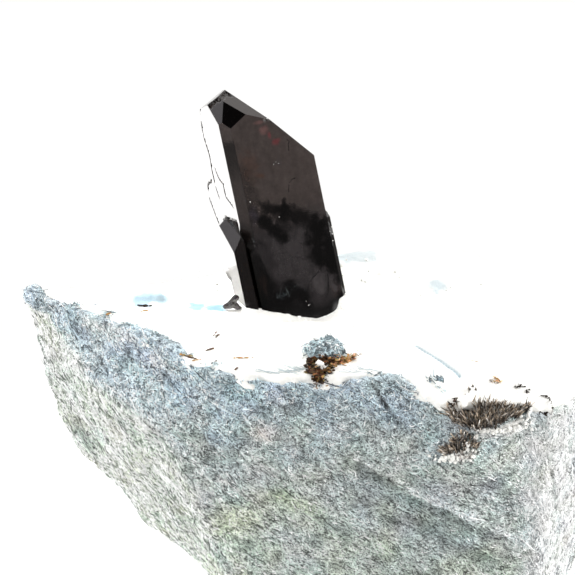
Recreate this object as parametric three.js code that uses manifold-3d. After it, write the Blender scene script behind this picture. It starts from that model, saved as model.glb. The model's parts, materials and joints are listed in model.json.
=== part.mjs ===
// Neptunite crystal standing on a natrolite crust over a block of fibrous schist.
// Millimetres, +Z up. The crystal's front foot is the point everything is laid out from.
// +X runs along the specimen's long side, -Y is its display side.

import * as THREE from 'three';
import { mergeVertices } from 'three/addons/utils/BufferGeometryUtils.js';
import Module from 'manifold-3d';

const wasm = await Module();
wasm.setup();

// Driving dimensions
const baseLevel = -34;
const touchGap = 0.3;
const footShift = new THREE.Vector3(-3, 1, 34);

const blockSegments = 84;
const blockRings = 22;
const blockRelief = 0.45;

const crustSegments = 72;
const crustRings = 13;
const crustRelief = 0.3;
const bowlDepth = 3;

const prismWidthX = 4.8;
const prismDepth = 8.4;
const levelRoot = [-125.6, -77, 2];
const sideStep = 0.45;
const crystalLean = new THREE.Euler(
  THREE.MathUtils.degToRad(-6),
  THREE.MathUtils.degToRad(-11.6),
  THREE.MathUtils.degToRad(8),
  'XYZ',
);

// Corner columns of the block, anticlockwise from its left tip.
// Each runs down from the rim, through three shoulders, to the flat foot.
const columns = [
  [[-27.1, 2, 1], [-25.8, 1, -7], [-22.6, 1.5, -15.5], [-15.2, 1.8, -24.5], [-3.5, 1.6]],
  [[-23.5, -2, 1], [-21.5, -3.8, -7], [-16.4, -4.6, -15.5], [-11, -4.2, -24.5], [-3, -3]],
  [[-19.8, -5.6, 1], [-16.9, -8.2, -7.1], [-9.7, -10, -15.5], [-6.6, -9.5, -24.5], [-2, -8]],
  [[-14.3, -9.5, 0.6], [-11.3, -11.6, -7], [-6.8, -11.6, -15.5], [-4.4, -10.8, -24.5], [0, -8.6]],
  [[-10.3, -13, -1.2], [-7.8, -13.6, -7.2], [-3.6, -12.9, -15.5], [-1, -11.6, -24.5], [2.5, -9]],
  [[-4.5, -15, -2], [-3.2, -14.6, -7.6], [0, -13.8, -15.5], [2.2, -12.2, -24.5], [5, -9.2]],
  [[2.2, -15.5, -2.2], [3, -15.2, -8], [5, -14.4, -15.5], [7, -12.8, -24.5], [9, -9.4]],
  [[9.8, -15, -1.6], [9.8, -15.6, -8.4], [10.8, -14.8, -16], [12, -13, -24.5], [13, -9.5]],
  [[14.6, -16, -5], [15, -15.8, -9.8], [16, -14.8, -16], [17, -12.8, -25], [17, -9.5]],
  [[25.3, -13.6, -5.5], [24.9, -13.4, -10], [24.6, -13, -16.5], [24.4, -12, -25], [23, -9]],
  [[33, -4, -5], [32.6, -4, -10], [31, -3.5, -16], [29, -3, -25], [25.5, -2]],
  [[32, 8, -3], [31, 8.5, -9], [29.5, 8.5, -16], [27, 8, -25], [24, 7.5]],
  [[15, 15, 2], [15, 15.5, -7], [14.5, 15, -16], [13.5, 12.5, -25], [12, 9]],
  [[-3, 11.5, -1], [-3, 12, -8], [-1, 11.5, -16], [0.5, 10.5, -25], [0, 8.5]],
  [[-17, 6, -1.3], [-16.5, 6.5, -7], [-13, 7, -16], [-7.5, 7, -25], [-2, 6]],
];
const middle = new THREE.Vector3(3, 0, 0);

// Block levels, as ring numbers of the lathe-like body: bowl, rim, three shoulders, foot.
const rimRing = 4;
const footRing = 19;

const black = new THREE.MeshStandardMaterial({ color: 0x141010, roughness: 0.12, metalness: 0 });
const schistGrey = new THREE.MeshStandardMaterial({ color: 0x9faba9, roughness: 0.8, metalness: 0 });
const natroliteWhite = new THREE.MeshStandardMaterial({ color: 0xf3f2ee, roughness: 0.6, metalness: 0 });
const rustBrown = new THREE.MeshStandardMaterial({ color: 0x6f4f37, roughness: 0.85, metalness: 0 });
const bladeBrown = new THREE.MeshStandardMaterial({ color: 0x4d3626, roughness: 0.6, metalness: 0 });

function toSolid(geometry) {
  geometry.deleteAttribute('normal');
  geometry.deleteAttribute('uv');
  const merged = mergeVertices(geometry, 1e-4);
  const mesh = new wasm.Mesh({
    numProp: 3,
    vertProperties: merged.attributes.position.array,
    triVerts: new Uint32Array(merged.index.array),
  });
  return new wasm.Manifold(mesh);
}

function toGeometry(solid) {
  const mesh = solid.getMesh();
  const geometry = new THREE.BufferGeometry();
  geometry.setAttribute('position', new THREE.BufferAttribute(mesh.vertProperties, 3));
  geometry.setIndex(new THREE.BufferAttribute(mesh.triVerts, 1));
  geometry.computeVertexNormals();
  return geometry;
}

// Smooth made-up relief, about -1 to 1, with waves of 5 to 12 mm.
function relief(x, y, z) {
  const broad = Math.sin(0.62 * x + 0.35 * z + 1.1) * Math.cos(0.7 * y - 0.41 * z);
  const fine = Math.sin(1.25 * x - 0.9 * y + 0.5) * Math.cos(1.1 * z + 0.6 * x + 2);
  return 0.6 * broad + 0.4 * fine;
}

// A point on the block's outline: turn goes once round from 0 to 1, level from rim 0 to foot 4.
function outline(turn, level) {
  const along = turn * columns.length;
  const left = Math.floor(along) % columns.length;
  const right = (left + 1) % columns.length;
  const upper = Math.min(Math.floor(level), 3);
  const corner = (column, row) => {
    const [x, y, z = baseLevel] = columns[column][row];
    return new THREE.Vector3(x, y, z);
  };
  const side = (column) => corner(column, upper).lerp(corner(column, upper + 1), level - upper);
  return side(left).lerp(side(right), along - Math.floor(along));
}

// A closed body whose rings, from the top pole down, are set by place(ring, turn).
function ringBody(rings, segments, place) {
  const geometry = new THREE.SphereGeometry(1, segments, rings);
  const position = geometry.attributes.position;
  for (let i = 0; i < position.count; i += 1) {
    const ring = Math.floor(i / (segments + 1));
    const turn = (i % (segments + 1)) % segments / segments;
    const point = place(ring, turn);
    position.setXYZ(i, point.x, point.y, point.z);
  }
  return geometry;
}

// Depth of the bowl that holds the crust, at a share of the way out to the rim.
function bowl(share) {
  return bowlDepth * (1 - share ** 3);
}

function blockPoint(ring, turn) {
  if (ring <= rimRing) {
    const share = Math.sin(ring / rimRing * Math.PI / 2);
    const rim = outline(turn, 0);
    const point = rim.clone().lerp(middle.clone().setZ(-1.6), 1 - share);
    point.z -= bowl(share);
    return point;
  }
  if (ring >= footRing) {
    const share = 1 - (ring - footRing) / (blockRings - footRing);
    const point = outline(turn, 4).sub(middle).multiplyScalar(share).add(middle);
    return point.setZ(baseLevel);
  }
  const level = (ring - rimRing) / (footRing - rimRing) * 4;
  const point = outline(turn, level);
  const outward = point.clone().sub(middle).setZ(0).normalize();
  return point.addScaledVector(outward, blockRelief * relief(point.x, point.y, point.z));
}

function schistBlock() {
  return toSolid(ringBody(blockRings, blockSegments, blockPoint));
}

// Height of the crust's upper face: level at the crystal, falling to the right, with soft lumps.
function crustTop(x, y, share) {
  const tilt = -0.11 * Math.max(x - 8, 0) + 0.07 * Math.max(-x - 8, 0);
  const back = 0.2 * Math.max(y - 3, 0);
  const front = -0.14 * Math.max(-y - 6, 0);
  const calm = Math.min(Math.hypot(x + 0.5, y - 3.5) / 9, 1);
  return tilt + back + front + crustRelief * relief(x * 1.4, y * 1.5, 3) * calm * (1 - share ** 6);
}

// How far out towards the rim the crust reaches: it draws back along the left of the display side.
function crustReach(turn) {
  return 0.975 - 0.09 * Math.max(1 - Math.abs(turn - 0.12) / 0.12, 0);
}

function crustPoint(ring, turn) {
  const rim = outline(turn, 0);
  const topRings = 8;
  const upper = ring <= topRings;
  const reach = crustReach(turn);
  const share = upper ? Math.sin(ring / topRings * Math.PI / 2) * reach
    : reach * (crustRings - ring) / (crustRings - topRings - 1);
  const point = rim.clone().lerp(middle.clone().setZ(-1.6), 1 - share);
  if (!upper) {
    point.z += touchGap - bowl(share);
    return point;
  }
  const edge = Math.max(share - reach + 0.115, 0) / 0.115;
  const top = crustTop(point.x, point.y, share);
  point.z = THREE.MathUtils.lerp(top, Math.min(top, rim.z + 0.9), edge);
  return point;
}

// The solid side of a plane: normal given as a compass turn from the front and a rise, in degrees.
function halfSpace(turnDeg, riseDeg, distance) {
  const turn = THREE.MathUtils.degToRad(turnDeg);
  const rise = THREE.MathUtils.degToRad(riseDeg);
  const normal = new THREE.Vector3(
    Math.sin(turn) * Math.cos(rise),
    -Math.cos(turn) * Math.cos(rise),
    Math.sin(rise),
  );
  const size = 120;
  const geometry = new THREE.BoxGeometry(size, size, size).translate(0, 0, -size / 2);
  const swing = new THREE.Quaternion().setFromUnitVectors(new THREE.Vector3(0, 0, 1), normal);
  geometry.applyQuaternion(swing);
  geometry.translate(normal.x * distance, normal.y * distance, normal.z * distance);
  return toSolid(geometry);
}

function cutCrystal(faces, grow) {
  const solids = faces.map(([turn, rise, distance]) => halfSpace(turn, rise, distance + grow));
  return solids.reduce((kept, next) => kept.intersect(next));
}

// The tall prism with its five end faces, in the crystal's own frame (Z along the c axis).
function tallPrism(grow) {
  return cutCrystal([
    [0, 0, 0],
    [-40, 0, 1.77],
    [-76, 0, 3.47],
    [104, 0, prismWidthX * 0.97],
    [180, 0, prismDepth],
    [180, 21, 12.5],
    [-49, 28, 11.3],
    [-18, 27, 9.5],
    [44, 56, 16.45],
    [103, 38, 12.8],
    [-103, 61, 21.18],
    levelRoot,
  ], grow);
}

// A later growth step widens the prism's right side below a ledge.
function rightStep(grow) {
  return cutCrystal([
    [0, 0, -0.02],
    [50, 0, prismWidthX * Math.sin(THREE.MathUtils.degToRad(50))],
    [104, 0, prismWidthX * 0.97 + sideStep],
    [180, 0, prismDepth - 0.8],
    [-76, 0, 2],
    [60, 50, 9.1],
    levelRoot,
  ], grow);
}

// The short prism grown alongside, parallel to the tall one; a groove parts their display sides.
function sidePrism(grow) {
  return cutCrystal([
    [0, 0, 0.08],
    [-76, 0, 4.88],
    [75, 0, -3.7],
    [98, 21, -0.7],
    [154, 0, -0.08],
    [-49, 28, 6.67],
    levelRoot,
  ], grow);
}

function neptuniteSolid(grow) {
  return tallPrism(grow).add(rightStep(grow)).add(sidePrism(grow));
}

function neptuniteInPlace(grow) {
  const geometry = toGeometry(neptuniteSolid(grow));
  geometry.applyMatrix4(new THREE.Matrix4().makeRotationFromEuler(crystalLean));
  return toSolid(geometry);
}

// A chip of three short blades of neptunite, crossed in a Y that stands on the crust.
function chipBlade(riseDeg, length) {
  const geometry = new THREE.CylinderGeometry(0.2, 0.3, length, 6);
  geometry.rotateZ(-Math.PI / 2);
  geometry.translate(length / 2 - 0.15, 0, 0);
  return geometry.rotateY(-THREE.MathUtils.degToRad(riseDeg));
}

function chipSolid() {
  const blades = [[58, 1], [-38, 1.1], [214, 1]];
  return blades
    .map(([rise, length]) => toSolid(chipBlade(rise, length).translate(-6.5, -0.7, 0.75)))
    .reduce((kept, next) => kept.add(next));
}

// A rounded lump: half sizes, a turn about Z and a tilt about X, with a soft uneven surface.
function lump(center, halfSize, turnDeg, tiltDeg, unevenness) {
  const geometry = new THREE.SphereGeometry(1, 20, 12);
  const position = geometry.attributes.position;
  const point = new THREE.Vector3();
  for (let i = 0; i < position.count; i += 1) {
    point.fromBufferAttribute(position, i);
    const swell = 1 + unevenness * relief(point.x * 4 + center[0], point.y * 4, point.z * 4);
    point.multiplyScalar(swell).multiply(new THREE.Vector3(...halfSize));
    position.setXYZ(i, point.x, point.y, point.z);
  }
  geometry.rotateX(THREE.MathUtils.degToRad(tiltDeg));
  geometry.rotateZ(THREE.MathUtils.degToRad(turnDeg));
  return toSolid(geometry.translate(...center));
}

// Cuts a solid back from a neighbour, leaving the touch gap above, below and in front of it.
function clearOf(solid, neighbour) {
  const steps = [[0, 0, 0], [0, -1, 0], [0, 0, 1], [0, 0, -1], [0, -0.7, 0.7]];
  const moved = steps.map(([x, y, z]) => toSolid(
    toGeometry(neighbour).translate(x * touchGap, y * touchGap, z * touchGap),
  ));
  return moved.reduce((kept, next) => kept.subtract(next), solid);
}

function largestPiece(solid) {
  return solid.decompose().sort((a, b) => b.volume() - a.volume())[0];
}

function named(name, solid, material) {
  const mesh = new THREE.Mesh(toGeometry(solid), material);
  mesh.name = name;
  return mesh;
}

const block = schistBlock();
const socket = neptuniteInPlace(touchGap);
const crust = largestPiece(
  toSolid(ringBody(crustRings, crustSegments, crustPoint)).subtract(socket),
);

function restingPiece(solid) {
  return largestPiece(clearOf(clearOf(solid, crust), block));
}

const clast = restingPiece(lump([2.7, -10.6, -0.7], [2, 1.9, 1.3], 8, 20, 0.1));
const rust = restingPiece(lump([1.8, -14.5, -1.4], [1.8, 1.3, 1.3], -12, 30, 0.12));
const largeTuft = restingPiece(lump([18.1, -15.1, -5], [4.1, 2, 1.9], 10, 25, 0.14));
const smallTuft = restingPiece(lump([15.8, -15.7, -8.2], [1.9, 1.4, 1.4], 10, 10, 0.12));

const crystal = named('neptunite_crystal', neptuniteSolid(0), black);
crystal.rotation.copy(crystalLean);

const specimen = new THREE.Group();
specimen.add(named('schist_matrix', block, schistGrey));
specimen.add(named('natrolite_crust', crust, natroliteWhite));
specimen.add(crystal);
specimen.add(named('neptunite_chip', restingPiece(chipSolid()), black));
specimen.add(named('schist_clast', clast, schistGrey));
specimen.add(named('rust_cluster', rust, rustBrown));
specimen.add(named('brown_tuft_large', largeTuft, bladeBrown));
specimen.add(named('brown_tuft_small', smallTuft, bladeBrown));
specimen.position.copy(footShift);

const group = new THREE.Group();
group.add(specimen);

export default group;
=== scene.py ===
import json
import math
import random

import bmesh
import bpy
from mathutils import Matrix, Vector, noise
from mathutils.bvhtree import BVHTree

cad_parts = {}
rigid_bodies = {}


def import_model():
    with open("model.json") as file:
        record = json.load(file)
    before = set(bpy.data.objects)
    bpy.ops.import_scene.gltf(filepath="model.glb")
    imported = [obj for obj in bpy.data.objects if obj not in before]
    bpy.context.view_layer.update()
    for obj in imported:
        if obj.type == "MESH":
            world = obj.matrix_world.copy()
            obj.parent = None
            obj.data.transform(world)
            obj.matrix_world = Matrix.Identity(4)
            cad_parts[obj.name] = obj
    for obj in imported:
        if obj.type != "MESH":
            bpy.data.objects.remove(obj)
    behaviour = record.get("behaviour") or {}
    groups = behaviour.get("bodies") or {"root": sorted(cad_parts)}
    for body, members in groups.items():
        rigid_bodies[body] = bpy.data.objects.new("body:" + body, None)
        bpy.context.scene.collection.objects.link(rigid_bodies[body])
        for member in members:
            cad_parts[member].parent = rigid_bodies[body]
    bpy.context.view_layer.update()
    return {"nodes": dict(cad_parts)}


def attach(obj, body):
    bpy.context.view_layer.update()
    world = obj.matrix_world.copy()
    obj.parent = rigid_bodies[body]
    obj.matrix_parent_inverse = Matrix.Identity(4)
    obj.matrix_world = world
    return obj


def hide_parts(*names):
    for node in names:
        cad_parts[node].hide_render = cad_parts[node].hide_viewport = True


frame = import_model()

scene = bpy.context.scene
noise.seed_set(3)  # noise_vector would otherwise start from the clock
mm = 0.001  # every piece is modelled in millimetres and brought to metres at the end
footOffset = Vector((-3.0, 1.0, 34.0))  # the crystal's front foot, where the layout is measured from


# An sRGB hex colour as the linear colour that the nodes take.
def linearColour(hexCode):
    parts = [int(hexCode[i:i + 2], 16) / 255 for i in (1, 3, 5)]
    return tuple(c / 12.92 if c <= 0.04045 else ((c + 0.055) / 1.055) ** 2.4 for c in parts) + (1.0,)


# The colours in a piece's dictionary, by name.
def coloursIn(settings):
    return {key: linearColour(value) for key, value in settings.items() if isinstance(value, str)}


# Feeds a node's sockets: a source is a socket, or a node whose first output is meant.
def feedNode(tree, node, links):
    for key, source in links.items():
        socket = source.outputs[0] if isinstance(source, bpy.types.Node) else source
        tree.links.new(socket, node.inputs[key])


# Adds a node: settings are its own options or socket values, links are what feeds it.
def addNode(tree, kind, settings=None, links=None):
    node = tree.nodes.new("ShaderNode" + kind)
    for key, value in (settings or {}).items():
        if key == "ramp":
            stops = node.color_ramp.elements
            while len(stops) < len(value):
                stops.new(0.5)
            for stop, (position, colour) in zip(stops, value):
                stop.position = position
                stop.color = linearColour(colour)
        elif isinstance(key, int) or key in node.inputs:
            node.inputs[key].default_value = value
        else:
            setattr(node, key, value)
    feedNode(tree, node, links or {})
    return node


# A new material with its shader and the object's own coordinates in millimetres.
def startMaterial(name, settings):
    material = bpy.data.materials.new(name)
    material.use_nodes = True
    tree = material.node_tree
    tree.nodes.clear()
    shader = addNode(tree, "BsdfPrincipled", settings)
    addNode(tree, "OutputMaterial", links={"Surface": shader})
    place = addNode(tree, "TexCoord")
    inMm = addNode(tree, "Mapping", {"Scale": (1000, 1000, 1000)}, {"Vector": place.outputs["Object"]})
    return material, tree, shader, inMm


# A painted colour made darker and lighter by a noise, between two strengths.
def unevenTone(tree, tone, pattern, least, most):
    strength = addNode(tree, "MapRange", {1: 0.3, 2: 0.7, 3: least, 4: most}, {0: pattern})
    return addNode(tree, "VectorMath", {"operation": "MULTIPLY"}, {0: tone, 1: strength})


# A CAD node's mesh, merged, in millimetres.
def copyOfNode(nodeName):
    bm = bmesh.new()
    bm.from_mesh(frame["nodes"][nodeName].data)
    bmesh.ops.scale(bm, vec=(1000, 1000, 1000), verts=bm.verts)
    bmesh.ops.remove_doubles(bm, verts=bm.verts, dist=0.002)
    return bm


# Rebuilds the mesh as one even skin of small squares, which joins everything that overlaps.
def evenSkin(bm, voxel, smoothing=2):
    mesh = bpy.data.meshes.new("draft")
    bm.to_mesh(mesh)
    bm.free()
    draft = bpy.data.objects.new("draft", mesh)
    scene.collection.objects.link(draft)
    remesh = draft.modifiers.new("evenSkin", "REMESH")
    remesh.mode = "VOXEL"
    remesh.voxel_size = voxel
    skin = bmesh.new()
    skin.from_object(draft, bpy.context.evaluated_depsgraph_get())
    bpy.data.objects.remove(draft)
    bpy.data.meshes.remove(mesh)
    for _ in range(smoothing):
        bmesh.ops.smooth_vert(skin, verts=skin.verts, factor=0.5,
                              use_axis_x=True, use_axis_y=True, use_axis_z=True)
    skin.normal_update()
    return skin


# Moves each point along its own normal by what the relief says, in millimetres.
def pushOut(bm, relief):
    bm.normal_update()
    moves = [(v, v.normal.copy(), relief(v.co, v.normal)) for v in bm.verts]
    for v, normal, height in moves:
        v.co += normal * height
    bm.normal_update()


# Makes a finished mesh a piece that rides on the specimen.
def placePiece(mesh, material, replaced=None):
    mesh.materials.append(material)
    piece = bpy.data.objects.new(mesh.name, mesh)
    scene.collection.objects.link(piece)
    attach(piece, "root")
    if replaced:
        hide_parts(replaced)
    print("made", mesh.name, len(mesh.polygons), "faces")


# The same from a bmesh in millimetres.
def finishPiece(bm, name, material, replaced=None, smooth=False):
    bmesh.ops.scale(bm, vec=(mm, mm, mm), verts=bm.verts)
    for face in bm.faces:
        face.smooth = face.smooth or smooth
    mesh = bpy.data.meshes.new(name)
    bm.to_mesh(mesh)
    bm.free()
    placePiece(mesh, material, replaced)


# A soft edge from 0 to 1 between two values.
def fade(value, low, high):
    t = min(max((value - low) / (high - low), 0.0), 1.0)
    return t * t * (3 - 2 * t)


# Mixes two linear colours.
def blendColour(first, second, share):
    return tuple(a + (b - a) * share for a, b in zip(first, second))


# A colour made darker, or lighter where the strength is over 1.
def dimmed(colour, strength, alpha=1.0):
    return tuple(c * strength for c in colour[:3]) + (alpha,)


# Straight-line blending of a table of (position, value) pairs.
def lookUp(table, position):
    if position <= table[0][0]:
        return table[0][1]
    for (first, low), (second, high) in zip(table, table[1:]):
        if position <= second:
            return low + (high - low) * (position - first) / (second - first)
    return table[-1][1]


# Distance from a flat point to a line of points, and how far along the line the nearest spot is.
def nearLine(x, y, line):
    best, along = 1e9, 0.0
    for i, ((ax, ay), (bx, by)) in enumerate(zip(line, line[1:])):
        dx, dy = bx - ax, by - ay
        t = min(max(((x - ax) * dx + (y - ay) * dy) / (dx * dx + dy * dy), 0.0), 1.0)
        away = math.hypot(x - ax - dx * t, y - ay - dy * t)
        if away < best:
            best, along = away, i + t
    return best, along / (len(line) - 1)


# A point squeezed along one direction, so that noise read there runs in streaks that way.
def alongStreaks(point, direction, stretch):
    return point - direction * (point.dot(direction) * (1 - 1 / stretch))


# A random step, even within a box of these half sizes.
def shake(rng, x=1.0, y=1.0, z=1.0):
    return Vector((rng.uniform(-x, x), rng.uniform(-y, y), rng.uniform(-z, z)))


# A random step, bell-shaped with these spreads.
def strew(rng, x, y, z):
    return Vector((rng.gauss(0, x), rng.gauss(0, y), rng.gauss(0, z)))


# A ball whose points are shaken, which makes it a broken crumb.
def addCrumb(bm, rng, place, radius, jag):
    verts = bmesh.ops.create_icosphere(bm, subdivisions=1, radius=radius)["verts"]
    for v in verts:
        v.co += shake(rng) * radius * jag
    bmesh.ops.translate(bm, vec=place, verts=verts)


# The unit vector that a compass turn from the display side and a rise point to.
def heading(turn, rise):
    a, b = math.radians(turn), math.radians(rise)
    return Vector((math.sin(a) * math.cos(b), -math.cos(a) * math.cos(b), math.sin(b)))


# Camera
camera = {
    "place": (-3.95, -280.21, 138.53),  # mm, 20 degrees above the specimen's middle
    "target": (-3.95, 1.70, 35.93),
    "lens": 187.83,
}
cameraData = bpy.data.cameras.new("camera")
cameraData.lens = camera["lens"]
cameraData.sensor_width = 36
cameraData.clip_start = 0.01
cameraObject = bpy.data.objects.new("camera", cameraData)
cameraObject.location = Vector(camera["place"]) * mm
gaze = Vector(camera["target"]) - Vector(camera["place"])
cameraObject.rotation_euler = gaze.to_track_quat("-Z", "Y").to_euler()
scene.collection.objects.link(cameraObject)
scene.camera = cameraObject


# Studio: an even pale room with soft dark flags in front, as glossy black stones are lit
studio = {
    # brightness below, at eye level and overhead, and of the backdrop that the camera sees
    "low": 1.0, "side": 1.2, "top": 1.35, "backdrop": 1.02,
    # (compass turn from the display side, rise, inner size, outer size, brightness), degrees
    "cards": [
        (80, 12, 20, 50, 1.7),
        (-85, -35, 15, 45, 1.7),
        (12, 24, 10, 34, 0.12),
        (15, -5, 12, 38, 0.07),
        (-62, -21, 12, 30, 0.16),
        (-36, 38, 15, 36, 0.012),
        (112, -5, 6, 16, 0.15),
        (-92, 15, 10, 24, 0.85),
        (157, 43, 12, 30, 0.8),
        (-140, -26, 14, 30, 4.4),
    ],
    "floorRadius": 80, "floorDrop": 0.02,  # mm
}


def buildWorld():
    world = bpy.data.worlds.new("studio")
    scene.world = world
    world.use_nodes = True
    tree = world.node_tree
    tree.nodes.clear()
    soft = {"interpolation_type": "SMOOTHSTEP"}
    place = addNode(tree, "TexCoord")
    height = addNode(tree, "SeparateXYZ", links={0: place.outputs["Generated"]}).outputs["Z"]
    level = addNode(tree, "MapRange", {**soft, 1: -0.5, 2: 0.15, 3: studio["low"], 4: studio["side"]},
                    {0: height})
    level = addNode(tree, "MapRange", {**soft, 1: 0.2, 2: 0.95, 4: studio["top"]}, {0: height, 3: level})
    for turn, rise, inner, outer, brightness in studio["cards"]:
        facing = addNode(tree, "VectorMath", {"operation": "DOT_PRODUCT", 1: heading(turn, rise)},
                         {0: place.outputs["Generated"]})
        reach = {1: math.cos(math.radians(outer)), 2: math.cos(math.radians(inner))}
        edge = addNode(tree, "MapRange", {**soft, **reach}, {0: facing.outputs["Value"]})
        level = addNode(tree, "Mix", {3: brightness}, {0: edge, 2: level})
    seen = addNode(tree, "LightPath").outputs["Is Camera Ray"]
    plain = addNode(tree, "Mix", {3: studio["backdrop"]}, {0: seen, 2: level})
    glow = addNode(tree, "Background", {"Color": (1, 0.995, 0.985, 1)}, {"Strength": plain})
    addNode(tree, "OutputWorld", links={"Surface": glow})


# Matt white paper: no gloss, so the specimen's shadow is all that shows on it
def buildFloor():
    paper, tree, shader, inMm = startMaterial("mattPaper", {"Roughness": 0.9, "IOR": 1.4})
    tooth = addNode(tree, "TexNoise", {"Scale": 0.6, "Detail": 3}, {"Vector": inMm})
    shade = addNode(tree, "ValToRGB", {"ramp": [(0.3, "#f4f4f3"), (0.7, "#fafafa")]}, {0: tooth})
    feedNode(tree, shader, {"Base Color": shade})
    bm = bmesh.new()
    bmesh.ops.create_circle(bm, cap_ends=True, radius=studio["floorRadius"] * mm, segments=96)
    bmesh.ops.translate(bm, vec=(0, 0, -studio["floorDrop"] * mm), verts=bm.verts)
    mesh = bpy.data.meshes.new("floor")
    bm.to_mesh(mesh)
    bm.free()
    mesh.materials.append(paper)
    floor = bpy.data.objects.new("floor", mesh)
    scene.collection.objects.link(floor)


buildWorld()
buildFloor()
print("made the studio")


# Fibrous schist: felted blue amphibole and green mica broken by hand, which gives a curly, matted mottling
schist = {
    "voxel": 0.29,
    "lumps": 0.30, "folds": 0.14, "grain": 0.12, "pits": 0.26,  # heights in mm
    # cream and pale are partly painted light: the left and right sides are lighter where the light falls on
    # them
    "blue": "#b9c9d1", "grey": "#c1cac8", "green": "#c6d0b4", "cream": "#f0fbea", "sky": "#cddbe5",
    # ridge paints a highlight along raised breaks, and dark paints shade in sunk ones
    "pale": "#f6faf9", "ridge": "#e2ebec", "rose": "#e6dad8", "white": "#f6f8f7", "dark": "#5d6a68",
    "brown": "#4a4037",
    # mm; two strands in five are only short grains, and one in fifty is a long thread
    "strandsPerPiece": 15800, "strandWidth": (0.035, 0.07), "lowestStrand": 0.02,
    "strandLength": (0.3, 0.85), "grainLength": (0.12, 0.26), "threadLength": (1.4, 3.2),
    # the blunt end beyond these x is grey again, and its strands are darker by this share: painted shade that
    # holds back the right lamp's glare
    "bluntEnd": (23.5, 26.5), "endDimming": 0.42,
}
# The way the fibres run on the left, the display side and the right
streakLeft = Vector((0.5, -0.28, -0.82)).normalized()
streakFront = heading(90, -33)
streakRight = Vector((0.1, 0.1, -1)).normalized()

# Breaks on the display side: (x, z) line, width, height (minus sinks), colour and its strength; the dark
# colour on the sinks is painted shade and the ridge colour on the raised ledges a painted highlight
rockMarks = [
    ([(1.3, 25.2), (5.7, 22.6), (8.6, 20.4), (14.0, 17.7), (18.4, 14.8), (21.0, 13.2)],
     0.30, 0.26, "ridge", 0.7),
    ([(2.0, 24.0), (4.4, 22.3), (8.0, 19.6), (12.5, 17.4), (17.0, 14.4)], 0.75, -0.34, "dark", 0.42),
    ([(3.0, 20.6), (6.4, 17.8), (10.9, 15.8)], 1.5, -0.22, "dark", 0.28),
    ([(4.2, 31.8), (4.7, 31.2), (5.2, 30.2), (6.2, 28.6)], 0.24, -0.42, "brown", 0.8),
    ([(6.2, 28.6), (7.4, 26.8)], 0.4, -0.2, "dark", 0.4),
    ([(-10.7, 20.6), (-9.2, 20.0), (-7.9, 19.0)], 0.10, 0.08, "white", 0.9),
    ([(-6.6, 26.4), (-5.9, 26.8)], 0.9, 0.10, "rose", 0.75),
    ([(1.8, 24.9), (2.9, 24.3)], 0.4, 0.10, "white", 0.6),
    ([(-17.5, 33.0), (-16.4, 31.4), (-16.0, 28.4)], 0.13, 0.06, "white", 0.5),
    ([(12.0, 24.7), (13.4, 24.5), (14.0, 25.2)], 0.45, 0.10, "rose", 0.85),
    ([(15.0, 26.7), (16.5, 26.95), (17.9, 27.2), (19.4, 27.8)], 0.5, 0.34, "white", 1.0),
    ([(20.6, 25.4), (21.8, 23.8)], 0.28, -0.2, "dark", 0.4),
    ([(21.6, 23.0), (22.6, 16.6), (23.0, 14.0)], 0.25, -0.22, "dark", 0.45),
    ([(9.0, 17.6), (11.9, 14.6), (15.5, 12.4)], 1.0, -0.25, "dark", 0.4),
    ([(-11.6, 13.0), (-9.6, 15.4), (-6.6, 17.0)], 1.6, 0.0, "green", 0.6),
    ([(-5.2, 19.6), (-3.4, 18.8), (-0.9, 18.0)], 1.3, 0.0, "green", 0.6),
    ([(-26.0, 31.4), (-23.2, 28.4), (-20.1, 27.2), (-15.8, 24.2), (-14.0, 20.5), (-12.6, 18.3),
      (-11.5, 11.8)], 0.9, 0.20, "ridge", 0.55),
    ([(-24.0, 34.4), (-21.0, 34.2), (-18.6, 34.0)], 0.7, 0.10, "white", 0.55),
]
# Hollows and knobs: place, reach, height and painted shade
rockKnobs = [
    ((-29.6, 2.6, 34.6), 1.1, 0.7, 0.0),
    ((-24.6, 0.4, 21.2), 1.3, -0.55, 0.5),
    ((-23.4, -0.6, 19.8), 0.9, -0.4, 0.45),
    ((-19.0, -6.8, 33.6), 1.3, 0.35, 0.1),
    ((-15.0, -9.6, 33.0), 1.4, 0.45, 0.15),
    ((-20.0, -4.4, 30.0), 1.8, -0.3, 0.15),
    ((4.6, -12.8, 32.4), 1.6, 0.35, 0.0),
    ((7.0, -12.6, 31.8), 1.6, 0.3, 0.0),
    ((13.5, 15.0, 34.5), 4.5, -1.7, 0.0),
]
# Where the cream left side and the pale right side begin, as (height, x)
leftEdge = [(0.0, -10.6), (11.8, -11.5), (18.3, -12.6), (20.5, -14.0), (24.2, -15.8), (27.2, -20.1),
            (28.4, -23.2), (31.4, -26.0), (33.2, -27.8), (34.2, -31.5)]
rightEdge = [(10.0, 20.4), (20.0, 20.2), (24.0, 19.4), (27.0, 19.8), (29.0, 22.4), (32.0, 24.0)]


# How much a point belongs to the left, front and right of the block.
def sideShares(point, normal):
    behind = fade(normal.y, 0.1, 0.4)
    wander = 0.9 * noise.noise(point * 0.6) + 0.4 * noise.noise(point * 1.7)
    left = fade(lookUp(leftEdge, point.z) - point.x + wander, -0.5, 0.7)
    left = left + (fade(-normal.x, 0.28, 0.62) - left) * behind
    right = fade(point.x - lookUp(rightEdge, point.z) + wander, -2.8, 1.4)
    right = right + (fade(normal.x, 0.25, 0.6) - right) * behind
    # painted shade at the blunt end: less of the pale right tint
    right *= 1 - 0.75 * fade(point.x, *schist["bluntEnd"])
    return left, max(1 - left - right, 0.0), right


# The way that the fibres run at a point.
def streakAt(point, normal):
    left, front, right = sideShares(point, normal)
    return (streakLeft * left + streakFront * front + streakRight * right).normalized()
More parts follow.
